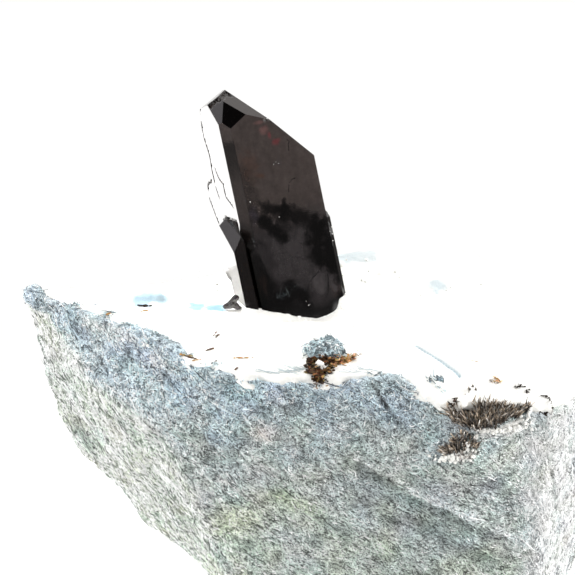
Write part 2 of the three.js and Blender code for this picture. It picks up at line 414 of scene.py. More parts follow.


# Height and colours that the breaks add at a point of the display side, painted shade in the sinks and a
# painted highlight on the ridges included.
def markAt(point, normal):
    height, tints = 0.0, []
    if normal.y > 0.1:
        return height, tints
    wander = 0.35 * noise.noise(point * 1.1) + 0.15 * noise.noise(point * 3.1)
    for line, width, rise, colour, strength in rockMarks:
        reach = width * 2.4 + 0.5
        if not (min(p[0] for p in line) - reach < point.x < max(p[0] for p in line) + reach):
            continue
        away, along = nearLine(point.x, point.z, line)
        if away > reach:
            continue
        ragged = (away + wander * min(width * 2, 1)) / width
        share = math.exp(-ragged ** 2) * min(1, 0.35 + 4 * along * (1 - along) + 0.3)  # thins at its ends
        height += rise * share
        tints.append((colour, strength * share))
    return height, tints


# Height and painted shade that the hollows and knobs add at a point.
def knobAt(point):
    height, paintedShade = 0.0, 0.0
    for place, reach, rise, dark in rockKnobs:
        away = (point - Vector(place)).length
        if away < reach * 2:
            share = math.exp(-(away / reach) ** 2)
            height += rise * share
            paintedShade += dark * share
    return height, paintedShade


def schistRelief(point, normal):
    streak = streakAt(point, normal)
    swirl = point + noise.noise_vector(point * 0.45) * 1.1
    lumps = noise.fractal(point * 0.22, 1.0, 2.1, 3)
    folds = noise.ridged_multi_fractal(alongStreaks(swirl, streak, 3.2) * 0.62, 0.9, 2.1, 3, 1.0, 2.0) - 1.3
    grain = noise.fractal(alongStreaks(swirl, streak, 2.2) * 2.1, 0.8, 2.2, 3)
    hole = fade(noise.noise(alongStreaks(swirl, streak, 2.0) * 0.9 + Vector((7, 3, 1))), 0.30, 0.60)
    return (schist["lumps"] * lumps + schist["folds"] * folds * 0.6 + schist["grain"] * grain
            - schist["pits"] * hole + markAt(point, normal)[0] + knobAt(point)[0]
            + 0.34 * fade(normal.z, 0.4, 0.8) * fade(point.z, 29, 31))  # closes up to the crust


def makeSchistMaterial():
    material, tree, shader, inMm = startMaterial("fibrousSchist", {"Roughness": 0.8, "IOR": 1.6,
                                                                   "Specular IOR Level": 0.3})
    tint = addNode(tree, "Attribute", {"attribute_name": "rockTint"})
    side = addNode(tree, "Attribute", {"attribute_name": "rockSide"})
    share = addNode(tree, "SeparateColor", links={0: side})
    curl = addNode(tree, "TexNoise", {"Scale": 1.3, "Detail": 4, "Roughness": 0.6}, {"Vector": inMm})
    centred = addNode(tree, "VectorMath", {"operation": "SUBTRACT", 1: (0.5, 0.5, 0.5)},
                      {0: curl.outputs["Color"]})
    swirled = addNode(tree, "VectorMath", {"operation": "MULTIPLY_ADD", 1: (1.6, 1.6, 1.6)},
                      {0: centred, 2: inMm})
    # felted fibres 0.1 to 0.3 mm wide, stretched the way each side's fibres run
    fibres = []
    for turn, stretch in ((33, 2.6), (58, 3.6), (88, 4.5)):
        lie = addNode(tree, "Mapping", {"vector_type": "TEXTURE", "Rotation": (0, math.radians(turn), 0),
                      "Scale": (stretch, 1, 1)}, {"Vector": swirled})
        fibres.append(addNode(tree, "TexNoise", {"Scale": 3.4, "Detail": 3, "Roughness": 0.7,
                              "Distortion": 0.6}, {"Vector": lie}))
    strand = addNode(tree, "Mix", links={0: share, 2: fibres[0], 3: fibres[1]})
    strand = addNode(tree, "Mix", links={0: share.outputs[2], 2: strand, 3: fibres[2]})
    grit = addNode(tree, "TexNoise", {"Scale": 8.0, "Detail": 1.5, "Roughness": 0.6}, {"Vector": inMm})
    patch = addNode(tree, "TexNoise", {"Scale": 0.6, "Detail": 4, "Roughness": 0.6}, {"Vector": swirled})
    mixed = addNode(tree, "Mix", {0: 0.5}, {2: strand, 3: grit})
    contrast = addNode(tree, "MapRange", {1: 0.37, 2: 0.63, 3: 0.02, 4: 1.85}, {0: mixed})
    broad = addNode(tree, "MapRange", {1: 0.3, 2: 0.7, 3: 0.82, 4: 1.16}, {0: patch})
    mottle = addNode(tree, "Math", {"operation": "MULTIPLY"}, {0: contrast, 1: broad})
    body = addNode(tree, "VectorMath", {"operation": "MULTIPLY"}, {0: tint, 1: mottle})
    capped = addNode(tree, "VectorMath", {"operation": "MINIMUM", 1: (0.92, 0.92, 0.92)}, {0: body})
    rough = addNode(tree, "MapRange", {1: 0.3, 2: 0.7, 3: 0.95, 4: 0.62}, {0: mixed})
    bump = addNode(tree, "Bump", {"Strength": 1.0, "Distance": 0.2 * mm}, {"Height": mixed})
    feedNode(tree, shader, {"Base Color": capped, "Roughness": rough, "Normal": bump})
    return material


# Loose ends of the felt: each strand keeps its own shade, with a silky gloss
def makeStrandMaterial():
    material, tree, shader, inMm = startMaterial("schistStrand", {"Roughness": 0.55, "IOR": 1.6})
    tint = addNode(tree, "Attribute", {"attribute_name": "rockTint"})
    wear = addNode(tree, "TexNoise", {"Scale": 5, "Detail": 2}, {"Vector": inMm})
    feedNode(tree, shader, {"Base Color": unevenTone(tree, tint, wear, 0.75, 1.15)})
    return material


rockColours = coloursIn(schist)


# The local mean colour: blue-grey above, greener below, cream on the left, palest on the right; the two sides
# are lighter partly as painted light, and the hollows take painted shade.
def schistTint(point, normal):
    left, _, right = sideShares(point, normal)
    behind = 1 - 0.6 * fade(normal.y, 0.1, 0.4)
    wander = noise.fractal(point * 0.16, 1.0, 2.0, 3)
    tint = blendColour(rockColours["grey"], rockColours["blue"], fade(point.z + 4 * wander, 24, 31))
    layers = [
        ("green", 0.25 * fade(-point.z + 8 * wander, -17, -11)),
        ("sky", 0.6 * fade(-point.x + 5 * wander, 11, 20) * fade(point.z, 23, 29)),
        ("cream", min(left * behind * (0.85 + 0.5 * wander), 1)),
        ("pale", right * behind * 0.95),
    ]
    for colour, strength in layers + markAt(point, normal)[1]:
        tint = blendColour(tint, rockColours[colour], min(strength, 1))
    hue = noise.noise_vector(point * 0.42)
    tint = (tint[0] * (1 + 0.09 * hue.x), tint[1] * (1 + 0.03 * hue.y), tint[2] * (1 + 0.09 * hue.z), 1.0)
    # darker patches by noise, and painted shade in the hollows
    patchesAndHollowShade = 0.5 * fade(noise.noise(point * 0.5 + Vector((2, 9, 4))), 0.15, 0.6)
    patchesAndHollowShade += 0.35 * fade(noise.noise(point * 1.4 + Vector((5, 1, 8))), 0.25, 0.6) + knobAt(point)[1]
    return blendColour(tint, dimmed(tint, 0.4), min(patchesAndHollowShade, 0.9))


# Paints a rock piece: its colour, and the side it is on, which turns the fibres.
def paintSchist(bm, tintAt=schistTint):
    tintLayer = bm.verts.layers.float_color.new("rockTint")
    sideLayer = bm.verts.layers.float_color.new("rockSide")
    bm.normal_update()
    for v in bm.verts:
        v[tintLayer] = tintAt(v.co, v.normal)
        v[sideLayer] = (*sideShares(v.co, v.normal), 1)


# Where strands can lie on a painted piece: point, normal and colour.
def spotsOn(bm, keep):
    layer = bm.verts.layers.float_color["rockTint"]
    return [(v.co.copy(), v.normal.copy(), tuple(v[layer])) for v in bm.verts if keep(v)]


# One strand's points: a sharp end, two rings of three and a sharp end, along a bowed line.
def strandPoints(centre, along, side, normal, length, width, bend, lift):
    points = []
    for t in (-0.5, -0.2, 0.2, 0.5):
        spine = centre + along * t * length + side * bend * (t * t - 0.1)
        spine += normal * (lift + 0.03 - 0.3 * t * t * length)
        if abs(t) == 0.5:
            points.append(spine)
        else:
            points += [spine + (side * a + normal * b) * width for a, b in strandCorners]
    return points


strandCorners = [(0.0, 1.0), (0.87, -0.5), (-0.87, -0.5)]
strandFaces = [(0, 2, 1), (0, 3, 2), (0, 1, 3), (1, 2, 5, 4), (2, 3, 6, 5), (3, 1, 4, 6),
               (4, 5, 7), (5, 6, 7), (6, 4, 7)]


# Thousands of thin pointed strands lying on the rock, as one joined mesh.
def makeFelt(name, spots, rng, count, lie=None, darkest=0.14):
    points, faces, tints = [], [], []
    for _ in range(count):
        spot, normal, tint = spots[rng.randrange(len(spots))]
        left, front, right = sideShares(spot, normal)
        streak = lie or streakLeft * left + streakFront * front + streakRight * right
        along = (streak - normal * streak.dot(normal)).normalized()
        kind = rng.random()
        curl = 7 if kind < 0.02 else 26 - 13 * left + 30 * fade(spot.z, 20, 29) * front
        along = Matrix.Rotation(math.radians(rng.gauss(0, curl)), 3, normal) @ along
        side = normal.cross(along)
        lengths = "threadLength" if kind < 0.02 else "grainLength" if kind < 0.42 else "strandLength"
        length = rng.uniform(*schist[lengths]) * (1 + 0.4 * left)
        width = rng.uniform(*schist["strandWidth"])
        bend = rng.gauss(0, 0.1 if kind < 0.02 else 0.3) * length
        centre = spot + side * rng.uniform(-0.15, 0.15) + along * rng.uniform(-0.15, 0.15)
        lift = rng.uniform(0.0, 0.05)
        first = len(points)
        points += strandPoints(centre, along, side, normal, length, width, bend, lift)
        faces += [tuple(first + corner for corner in face) for face in strandFaces]
        # lighter strands on the left and right, partly painted light on the lit sides
        bright = rng.random() < 0.6 + 0.08 * left + 0.16 * right
        shade = rng.uniform(1.0, 2.1) if bright else rng.uniform(darkest + 0.2 * right, 0.6 + 0.15 * right)
        # painted shade at the blunt end, against the right lamp's glare
        shade *= 1 - schist["endDimming"] * fade(spot.x, *schist["bluntEnd"])
        tints += (*(min(channel * shade, 0.93) for channel in tint[:3]), 1.0) * (len(points) - first)
    for point in points:
        point.z = max(point.z, schist["lowestStrand"])  # none reaches through the floor
    mesh = bpy.data.meshes.new(name)
    mesh.from_pydata([p * mm for p in points], [], faces)
    mesh.attributes.new("rockTint", "FLOAT_COLOR", "POINT").data.foreach_set("color", tints)
    mesh.update()
    placePiece(mesh, strandMaterial)


def makeBlock():
    bm = evenSkin(copyOfNode("schist_matrix"), schist["voxel"])
    pushOut(bm, schistRelief)
    for v in bm.verts:
        v.co.z = max(v.co.z, 0.0)  # the flat foot
    paintSchist(bm)
    bare = spotsOn(bm, lambda v: v.co.z > 0.7 and (v.normal.z < 0.55 or v.co.x < -24))
    surface = BVHTree.FromBMesh(bm)
    finishPiece(bm, "schist_block", schistMaterial, "schist_matrix", smooth=True)
    rng = random.Random(11)
    display = [spot for spot in bare if spot[1].y < -0.1]
    for part in "abc":
        makeFelt("schist_felt_front_" + part, display, rng, schist["strandsPerPiece"])
    behind = [spot for spot in bare if spot[1].y >= -0.1]
    makeFelt("schist_felt_back", behind, rng, schist["strandsPerPiece"])
    return surface


schistMaterial = makeSchistMaterial()
strandMaterial = makeStrandMaterial()
rockSurface = makeBlock()


# Natrolite crust: massive white zeolite, sugary where broken, with a satin gloss
natrolite = {
    "voxel": 0.25,
    "swell": 0.16, "knobs": 0.10, "sugar": 0.05,  # heights in mm
    "white": "#f6f5f1", "shade": "#ecebe6", "veil": "#7397a8", "deepBlueGrey": "#5a7b8c",
    # painted blue-grey shade round the low mounds and elsewhere on the crust: place, size in mm and strength
    "paintedShadeSpots": [((-18.6, 1.6, 34.7), 2.3, 0.82), ((-16.8, 1.9, 34.7), 2.3, 0.76),
              ((-13.0, 0.9, 34.2), 2.0, 0.94), ((-11.4, 0.6, 34.1), 2.0, 0.94),
              ((2.1, 12.6, 35.6), 2.7, 0.45), ((4.0, 12.6, 35.4), 2.4, 0.4), ((11.4, 7.3, 34.3), 1.8, 0.5)],
    # height of the crust's edge on the crystal, above or below 34 mm, by x along the display side
    "footLine": [(-8.2, 0.45), (-7.9, 0.35), (-6.0, -0.05), (-4.7, -0.2), (-3.0, -0.6), (-0.9, -0.85),
                 (-0.1, -0.67), (1.2, 0.0), (1.55, 0.9), (2.05, 1.3)],
    # shallow crack whose floor takes painted grey-blue shade, as an (x, y) line, with its width and depth
    "crack": [(8.6, -7.6), (9.6, -8.9), (10.8, -10.0), (12.6, -11.8)], "crackWidth": 0.22, "crackDepth": 0.22,
    # low mounds on the crust and knobs at its rim, place and radius
    "mounds": [((-18.0, 2.2, 34.45), 0.9), ((-17.0, 2.3, 34.4), 0.85), ((-19.1, 2.0, 34.4), 0.7),
               ((-16.0, 2.3, 34.2), 0.7), ((10.0, -12.9, 31.6), 0.6)],
    "rimKnobs": [((12.7, -14.3, 30.0), 0.75), ((12.2, -14.0, 29.5), 0.6), ((-0.9, -12.6, 33.3), 0.5),
                 ((13.4, -14.6, 25.9), 0.35), ((14.15, -14.4, 26.5), 0.35), ((14.75, -14.15, 27.1), 0.4),
                 ((15.5, -14.0, 27.2), 0.4), ((16.3, -13.85, 27.3), 0.42), ((17.05, -13.7, 27.45), 0.42),
                 ((17.85, -13.55, 27.6), 0.4), ((18.6, -13.4, 27.9), 0.36), ((19.2, -13.25, 28.3), 0.3),
                 ((10.8, 14.8, 33.9), 0.9), ((12.5, 14.6, 33.6), 1.0), ((14.4, 14.4, 33.4), 1.0),
                 ((16.0, 13.9, 33.3), 0.9), ((11.7, 14.4, 34.9), 1.0), ((13.5, 14.3, 34.7), 1.0),
                 ((15.2, 13.8, 34.5), 1.0)],
    "footBack": 2.2,  # y where the crystal's display side ends and its back begins
    "rimCount": 120, "lumpsPerStep": 4,
}


# The ring where a CAD node crosses a level, as points about a step apart.
def ringAt(nodeName, level, step):
    bm = copyOfNode(nodeName)
    cut = bmesh.ops.bisect_plane(bm, geom=bm.verts[:] + bm.edges[:] + bm.faces[:], plane_co=(0, 0, level),
                                 plane_no=(0, 0, 1))
    spots = []
    for edge in (g for g in cut["geom_cut"] if isinstance(g, bmesh.types.BMEdge)):
        first, last = (v.co.copy() for v in edge.verts)
        count = max(int((last - first).length / step), 1)
        spots += [first.lerp(last, (i + 0.5) / count) for i in range(count)]
    bm.free()
    return spots


# The outermost points of the crust, one for each small turn about the block's middle.
def crustRim(count):
    rim = {}
    for v in frame["nodes"]["natrolite_crust"].data.vertices:
        place = v.co * 1000
        turn = int((math.atan2(place.y, place.x) / math.tau + 0.5) * count) % count
        if turn not in rim or place.xy.length > rim[turn].xy.length:
            rim[turn] = place.copy()
    return [rim[turn] for turn in sorted(rim)]


def addLump(bm, place, radius):
    lump = bmesh.ops.create_icosphere(bm, subdivisions=2, radius=radius)
    bmesh.ops.translate(bm, vec=place, verts=lump["verts"])


def natroliteRelief(point, normal):
    swell = natrolite["swell"] * noise.fractal(point * 0.35, 1.0, 2.0, 2)
    knobs = natrolite["knobs"] * (0.5 - min(noise.voronoi(point * 0.95)[0][0], 1.0))
    sugar = natrolite["sugar"] * (0.4 - min(noise.voronoi(point * 2.6)[0][0], 1.0))
    calm = fade(math.hypot(point.x + 2, point.y - 1), 5, 9)  # smooth round the crystal's foot
    return (0.2 + 0.8 * calm) * (swell + knobs) + sugar


def makeNatroliteMaterial():
    material, tree, shader, inMm = startMaterial("sugaryNatrolite", {"Roughness": 0.5, "IOR": 1.48})
    veil = addNode(tree, "Attribute", {"attribute_name": "veil"}).outputs["Fac"]
    grain = addNode(tree, "TexNoise", {"Scale": 3.0, "Detail": 4, "Roughness": 0.6}, {"Vector": inMm})
    white = addNode(tree, "ValToRGB", {"ramp": [(0.3, natrolite["shade"]), (0.6, natrolite["white"])]},
                    {0: grain})
    # painted blue-grey shade for the crack and round the mounds
    shadeColour = addNode(tree, "ValToRGB", {"ramp": [(0.7, natrolite["veil"]), (1.0, natrolite["deepBlueGrey"])]},
                    {0: veil})
    colour = addNode(tree, "Mix", {"data_type": "RGBA"}, {0: veil, 6: white, 7: shadeColour})
    crystals = addNode(tree, "TexVoronoi", {"Scale": 4.5}, {"Vector": inMm})  # 0.2 mm grains
    bump = addNode(tree, "Bump", {"Strength": 0.5, "Distance": 0.05 * mm}, {"Height": crystals})
    feedNode(tree, shader, {"Base Color": colour.outputs[2], "Normal": bump})
    return material


# Lumps that grow over the crystal's foot and round the crust's rim.
def addCrustLumps(bm, rng):
    for spot in ringAt("neptunite_crystal", 34.2, 0.4):
        display = spot.y < natrolite["footBack"]
        rise = lookUp(natrolite["footLine"], spot.x) if display else 0.35 + rng.uniform(-0.2, 0.3)
        radius = 0.6 if display else rng.uniform(0.6, 0.9)
        addLump(bm, (spot.x, spot.y, footOffset.z + rise - radius), radius)
    rim = crustRim(natrolite["rimCount"])
    for first, last in zip(rim, rim[1:] + rim[:1]):
        for step in range(natrolite["lumpsPerStep"]):
            spot = first.lerp(last, step / natrolite["lumpsPerStep"])
            out = Vector((spot.x + footOffset.x, spot.y, 0)).normalized() * rng.uniform(-0.3, 0.05)
            addLump(bm, spot + out - Vector((0, 0, rng.uniform(0.2, 0.6))), rng.uniform(0.4, 0.6))
    for place, radius in natrolite["rimKnobs"] + natrolite["mounds"]:
        addLump(bm, place, radius)


def makeCrust():
    bm = copyOfNode("natrolite_crust")
    addCrustLumps(bm, random.Random(21))
    bm = evenSkin(bm, natrolite["voxel"])
    pushOut(bm, natroliteRelief)
    blueGreyLayer = bm.verts.layers.float.new("veil")
    for v in bm.verts:
        dip = min(lookUp(natrolite["footLine"], v.co.x), 0.0)
        dip = dip * (1 - fade(-v.co.y, 0.6, 3.2)) * fade(v.co.z, 32.3, 33.2) * (1 - fade(v.co.y, 1.5, 2.5))
        v.co.z += dip  # the crust sinks at the crystal's front foot
        away = nearLine(v.co.x, v.co.y, natrolite["crack"])[0] if v.normal.z > 0.3 else 9.0
        groove = math.exp(-(away / natrolite["crackWidth"]) ** 2)
        v.co.z -= natrolite["crackDepth"] * groove
        if v.normal.z < -0.2:  # closes the gap to the schist at the blunt end and the back
            v.co.z -= 0.5 * max(fade(v.co.x, 19.5, 21.0), fade(v.co.y, 0.0, 3.0))
        # painted shade in the crack and at the listed spots
        v[blueGreyLayer] = 0.85 * groove
        for place, size, strength in natrolite["paintedShadeSpots"]:
            ragged = (v.co - Vector(place)).length + 0.9 * noise.noise(v.co * 1.3)
            v[blueGreyLayer] = max(v[blueGreyLayer], strength * (1 - fade(ragged, 0.35 * size, size)))
    surface = BVHTree.FromBMesh(bm)
    finishPiece(bm, "natrolite_bed", natroliteMaterial, "natrolite_crust", smooth=True)
    return surface


natroliteMaterial = makeNatroliteMaterial()
crustSurface = makeCrust()


# Where a ray from outside first meets the rock or the crust.
def firstHit(start, direction):
    hits = [surface.ray_cast(start, direction)[0] for surface in (rockSurface, crustSurface)]
    return min((hit for hit in hits if hit), key=lambda hit: (hit - start).length, default=None)


# The height of the top surface at (x, y).
def restOn(x, y):
    hit = firstHit(Vector((x, y, 60)), Vector((0, 0, -1)))
    return hit.z if hit else footOffset.z


# The surface of the display side at (x, z).
def standOn(x, z):
    hit = firstHit(Vector((x, -40, z)), Vector((0, 1, 0)))
    return Vector((x, hit.y if hit else -13.5, z))


# Neptunite: glassy black prism with deep red-brown inside, worked in its own upright frame
neptunite = {
    "lean": (-6.0, -11.6, 8.0),  # degrees about X, Y and Z
    "edge": 0.03,  # width of the tiny worn edges, mm
    "brown": "#3c3533", "smoke": "#3b3738", "black": "#050404", "red": "#5c3032", "rose": "#5a4341",
    "umber": "#40302a", "mauve": "#38333a", "chipBrown": "#211510", "violet": "#2a2429",
    "flare": 0.085, "flareTop": 1.5,  # how fast the foot spreads where it broke through the crust
    # the groove beside the short prism narrows to a slit below these heights: x at its lip, and how far
    # its floor lies further left, at this y
    "slitHeights": (6.4, 7.3), "slitX": -3.45, "slitTurn": 0.07, "slitDepth": 0.645,
    # splintered steps on the left face above the short prism: middle, half sizes and their soft edges
    "splinters": (-4.1, 8.75), "splinterHalf": (1.9, 1.0), "splinterSoft": (0.4, 0.15),
    "splinterStep": 0.9, "splinterDrop": 0.62,
}
crystalColours = coloursIn(neptunite)
turnX, turnY, turnZ = (Matrix.Rotation(math.radians(a), 4, axis) for a, axis in zip(neptunite["lean"], "XYZ"))
crystalPlace = Matrix.Translation(footOffset) @ turnX @ turnY @ turnZ

# The crystal's faces in its own frame: compass turn, rise and distance from its front foot in mm
crystalFaces = {
    "front": (0, 0, 0.0), "strip": (-40, 0, 1.77), "left": (-76, 0, 3.47), "cap": (-49, 28, 11.3),
    "kite": (-18, 27, 9.5), "bevel": (44, 56, 16.45), "topLeft": (-103, 61, 21.18),
    "sideFront": (0, 0, 0.08), "sideLeft": (-76, 0, 4.88), "sideCap": (-49, 28, 6.67),
    "stepFront": (0, 0, -0.02), "rightStrip": (50, 0, 3.68), "right": (104, 0, 4.66),
    "stepRight": (104, 0, 5.11), "back": (180, 0, 8.4), "backTop": (180, 21, 12.5),
    "topRight": (103, 38, 12.8), "stepBack": (180, 0, 7.6),
}
growthFaces = ("right", "stepRight", "back", "backTop", "topRight", "stepBack")
faceNames = list(crystalFaces)
# Small nicks along the edges: place, reach and depth in mm
edgeNicks = [((0.9, 0.0, 19.35), 0.22, 0.16), ((2.9, 0.0, 17.1), 0.12, 0.06),
             ((4.95, 0.05, 6.9), 0.25, 0.14), ((4.9, 0.0, 7.6), 0.16, 0.08),
             ((5.1, 0.0, 5.6), 0.18, 0.10), ((4.3, 0.0, 15.5), 0.14, 0.06)]
# How fine a face is divided for its relief, mm
faceGrids = {"front": 0.15, "left": 0.18, "cap": 0.12, "bevel": 0.12, "topLeft": 0.12, "sideLeft": 0.2,
             "sideFront": 0.2, "strip": 0.2, "sideCap": 0.15, "rightStrip": 0.12, "right": 0.25,
             "stepRight": 0.25, "back": 0.25, "backTop": 0.22, "topRight": 0.22, "stepBack": 0.25}
# How strongly the brown inside shows through each face but the front; the least wins along an edge
plainTones = {"strip": 0.9, "left": 0.5, "cap": 0.5, "kite": 0.0, "bevel": 0.6, "topLeft": 0.5,
              "sideFront": 0.1, "sideLeft": 0.5, "sideCap": 0.5, "stepFront": 0.25, "rightStrip": 0.15,
              **{name: 0.3 for name in growthFaces}}
# Cracks and ledges by face: line of (across, up) points, width and depth
crystalCracks = {
    "front": [
        ([(2.46, 16.93), (2.64, 16.71), (2.49, 16.41), (2.43, 15.87)], 0.17, 0.004),
        ([(2.51, 12.97), (2.12, 12.89), (1.82, 12.61), (1.7, 12.33), (1.59, 11.74)], 0.17, 0.004),
        ([(3.41, 3.95), (2.96, 3.18), (2.2, 2.67), (1.74, 2.25), (1.36, 1.43)], 0.18, 0.004),
        ([(4.0, 3.95), (3.78, 2.99), (3.62, 1.8), (3.37, 0.81), (3.03, 0.33)], 0.18, 0.004),
        ([(-2.62, 7.39), (-2.68, 6.71)], 0.17, 0.004),
        ([(-2.6, 5.72), (-2.27, 4.43), (-2.12, 3.52), (-1.94, 2.22)], 0.12, 0.01),
        ([(0.6, 19.3), (0.86, 19.22)], 0.14, 0.01),
    ],
    "left": [
        ([(-5.1, 21.28), (-6.14, 20.94), (-6.49, 20.58)], 0.36, 0.23),
        ([(-6.52, 20.43), (-6.85, 19.92)], 1.08, 0.51),
        ([(-6.85, 19.92), (-6.94, 18.6), (-6.92, 17.56), (-6.73, 17.02)], 0.51, 0.34),
        ([(-6.73, 17.02), (-6.43, 16.4), (-6.42, 15.68), (-6.58, 14.91)], 1.08, 0.51),
        ([(-6.58, 14.91), (-6.7, 14.0), (-6.71, 13.1)], 0.54, 0.34),
        ([(-7.4, 13.45), (-7.7, 13.1), (-8.4, 13.01)], 0.92, 0.51),
        ([(-8.4, 13.01), (-8.96, 12.64), (-9.15, 12.15)], 0.92, 0.51),
        ([(-9.7, 11.81), (-9.45, 11.24), (-8.9, 10.1), (-8.1, 8.7)], 0.4, 0.27),
        ([(-5.64, 14.88), (-5.46, 14.42), (-5.03, 13.76), (-4.16, 13.42)], 0.29, 0.17),
        ([(-3.98, 13.44), (-4.16, 13.0), (-4.22, 12.55)], 0.65, 0.34),
        ([(-4.22, 12.5), (-4.1, 12.0), (-3.27, 11.6), (-2.5, 11.2)], 0.33, 0.17),
        ([(-6.68, 12.81), (-6.52, 12.22), (-6.28, 11.65)], 0.25, 0.13),
        ([(-8.6, 18.1), (-8.85, 18.0)], 0.54, 0.34),
        ([(-6.4, 9.3), (-5.82, 9.5), (-4.3, 9.78), (-2.75, 9.72)], 0.3, 0.2),
    ],
    "sideLeft": [
        ([(-4.57, 5.22), (-4.32, 4.8)], 0.29, 0.16),
        ([(-4.32, 4.75), (-4.45, 4.2)], 0.87, 0.39),
        ([(-4.4, 4.2), (-3.92, 4.08), (-3.7, 3.62)], 0.32, 0.16),
    ],
}
# Painted reflection: dark clouds in the display face's colour: (x, z) line, half width, depth
paintedReflectionClouds = [
    ([(-1.0, 10.93), (-0.65, 10.6), (-0.15, 10.32)], 0.42, 0.80),
    ([(0.97, 11.1), (0.85, 10.4)], 0.15, 0.8),
    ([(0.82, 10.4), (0.75, 9.9)], 0.34, 0.8),
    ([(0.9, 9.66), (1.81, 9.28), (2.49, 8.83), (3.32, 8.29), (3.92, 7.49)], 0.66, 0.82),
    ([(3.88, 7.67), (4.52, 7.87), (4.85, 8.2)], 0.35, 0.7),
    ([(3.51, 7.41), (3.32, 6.25), (3.25, 5.05), (3.3, 4.5)], 0.78, 0.88),
    ([(4.6, 6.0), (4.84, 4.83), (4.85, 3.61), (4.75, 2.4)], 0.75, 0.88),
    ([(3.72, 4.3), (4.24, 3.3), (4.84, 2.2)], 0.5, 0.8),
    ([(-1.54, 9.55), (-1.02, 8.79), (-0.5, 8.01), (0.0, 7.45)], 0.55, 0.9),
    ([(0.27, 9.3), (0.5, 8.3)], 0.75, 0.6),
    ([(-3.0, 6.5), (-2.73, 5.67), (-2.5, 4.31), (-2.27, 2.94)], 0.26, 0.75),
    ([(-2.84, 4.4), (-2.7, 2.8)], 0.4, 0.8),
    ([(-2.0, 4.0), (-1.6, 2.6)], 0.3, 0.5),
    ([(-3.6, 2.5), (-2.73, 1.8), (-1.75, 1.6), (-0.64, 1.6)], 0.85, 0.95),
    ([(-3.0, 0.9), (-1.2, 0.6)], 0.7, 0.9),
    ([(-0.3, 2.3), (0.24, 1.7), (0.75, 1.15), (0.9, 0.4)], 0.62, 0.95),
    ([(-2.0, 0.83), (-0.75, 0.0), (0.49, -0.5), (2.13, -0.86), (4.07, -0.7), (4.9, 0.0)], 0.55, 0.8),
    ([(-2.58, 10.9), (-2.1, 10.5), (-2.4, 9.9)], 0.28, 0.45),
    ([(-2.4, 14.5), (-2.3, 12.0), (-2.2, 8.0)], 0.7, 0.35),
    ([(-2.2, 6.8), (-2.0, 5.0)], 0.7, 0.4),
    ([(-2.4, 2.8), (-2.2, 1.2)], 0.6, 0.9),
]
# Painted reflection: a dark streak on the narrow face at the crystal's left, as (height, darkness)
stripShade = [(2.0, 0.92), (8.3, 0.85), (10.5, 0.35), (13.5, 0.35), (15.5, 0.7), (17.6, 0.75), (18.3, 0.1),
              (20.0, 0.0)]
# Glows: warm red, rose, umber and mauve from thin places, and grey smoke patches that are painted reflection:
# centre x, z, half sizes, colour, strength
frontGlows = [
    ((1.37, 16.96), (0.42, 0.34), "red", 1.0), ((0.84, 17.75), (0.16, 0.42), "red", 0.8),
    ((0.45, 18.4), (0.5, 0.5), "rose", 0.8), ((0.1, 19.2), (0.55, 0.22), "rose", 0.7),
    ((-1.7, 15.2), (1.0, 1.7), "umber", 0.45), ((-2.2, 14.2), (0.5, 0.6), "umber", 0.3),
    ((-0.8, 13.95), (0.42, 0.26), "umber", 0.95), ((-2.3, 10.3), (0.5, 0.9), "mauve", 0.8),
    ((4.2, 1.0), (0.7, 0.8), "umber", 0.35), ((2.7, 2.0), (0.75, 1.3), "smoke", 1.5),
    ((4.15, 1.7), (0.55, 1.1), "smoke", 1.4), ((-2.9, 3.2), (0.5, 1.4), "umber", 0.4),
    ((1.2, 14.9), (0.5, 0.4), "smoke", 0.4),
]
# Painted reflection: how bright the display face's colour is, by height, darker towards the foot
paintedReflectionByHeight = [(0.0, 0.36), (1.0, 0.44), (3.0, 0.54), (6.0, 0.62), (8.0, 0.70), (10.0, 0.88), (12.0, 1.0)]
# The broken corner at the crystal's top, as points in its own frame
brokenTop = [Vector((-4.2, 2.8, 21.6)), Vector((-3.07, 2.09, 22.3)), Vector((-2.34, 2.87, 22.59)),
             Vector((-1.9, 2.9, 22.2))]


# A face's normal, the ways across and up it, and its distance.
def faceAxes(name):
    turn, rise, distance = crystalFaces[name]
    normal = heading(turn, rise)
    across = Vector((0, 0, 1)).cross(normal).normalized()
    return normal, across, normal.cross(across), distance


# The number of the crystal face that a mesh face lies on: -1 is a plain face, -2 a worn edge.
def faceKind(face):
    for index, name in enumerate(faceNames):
        normal, _, _, distance = faceAxes(name)
        if normal.dot(face.normal) > 0.9995 and abs(face.calc_center_median().dot(normal) - distance) < 0.025:
            return index
    return -1 if face.calc_area() > 1.0 else -2


# The name of the crystal face with this number, if it has one.
def faceName(kind):
    return faceNames[kind] if kind >= 0 else None


# Everything that a cut through these faces needs, each once and always in the same order.
def geometryOf(faces):
    parts = [part for face in faces for part in (*face.edges, *face.verts)]
    return list(dict.fromkeys(parts)) + list(faces)


# Cuts these parts of the mesh along a plane and gives them back with what the cut added.
def cutAlong(bm, geom, place, normal):
    return bmesh.ops.bisect_plane(bm, geom=geom, dist=1e-4, plane_co=place, plane_no=normal)["geom"]


# Cuts one face into a grid of small squares.
def gridFace(bm, name, layer, step):
    kind = faceNames.index(name)
    geom = geometryOf([f for f in bm.faces if f[layer] == kind])
    for direction in faceAxes(name)[1:3]:
        spots = [g.co.dot(direction) for g in geom if isinstance(g, bmesh.types.BMVert)]
        cut = min(spots) + step * 0.5
        while cut < max(spots):
            geom = cutAlong(bm, geom, direction * cut, direction)
            cut += step


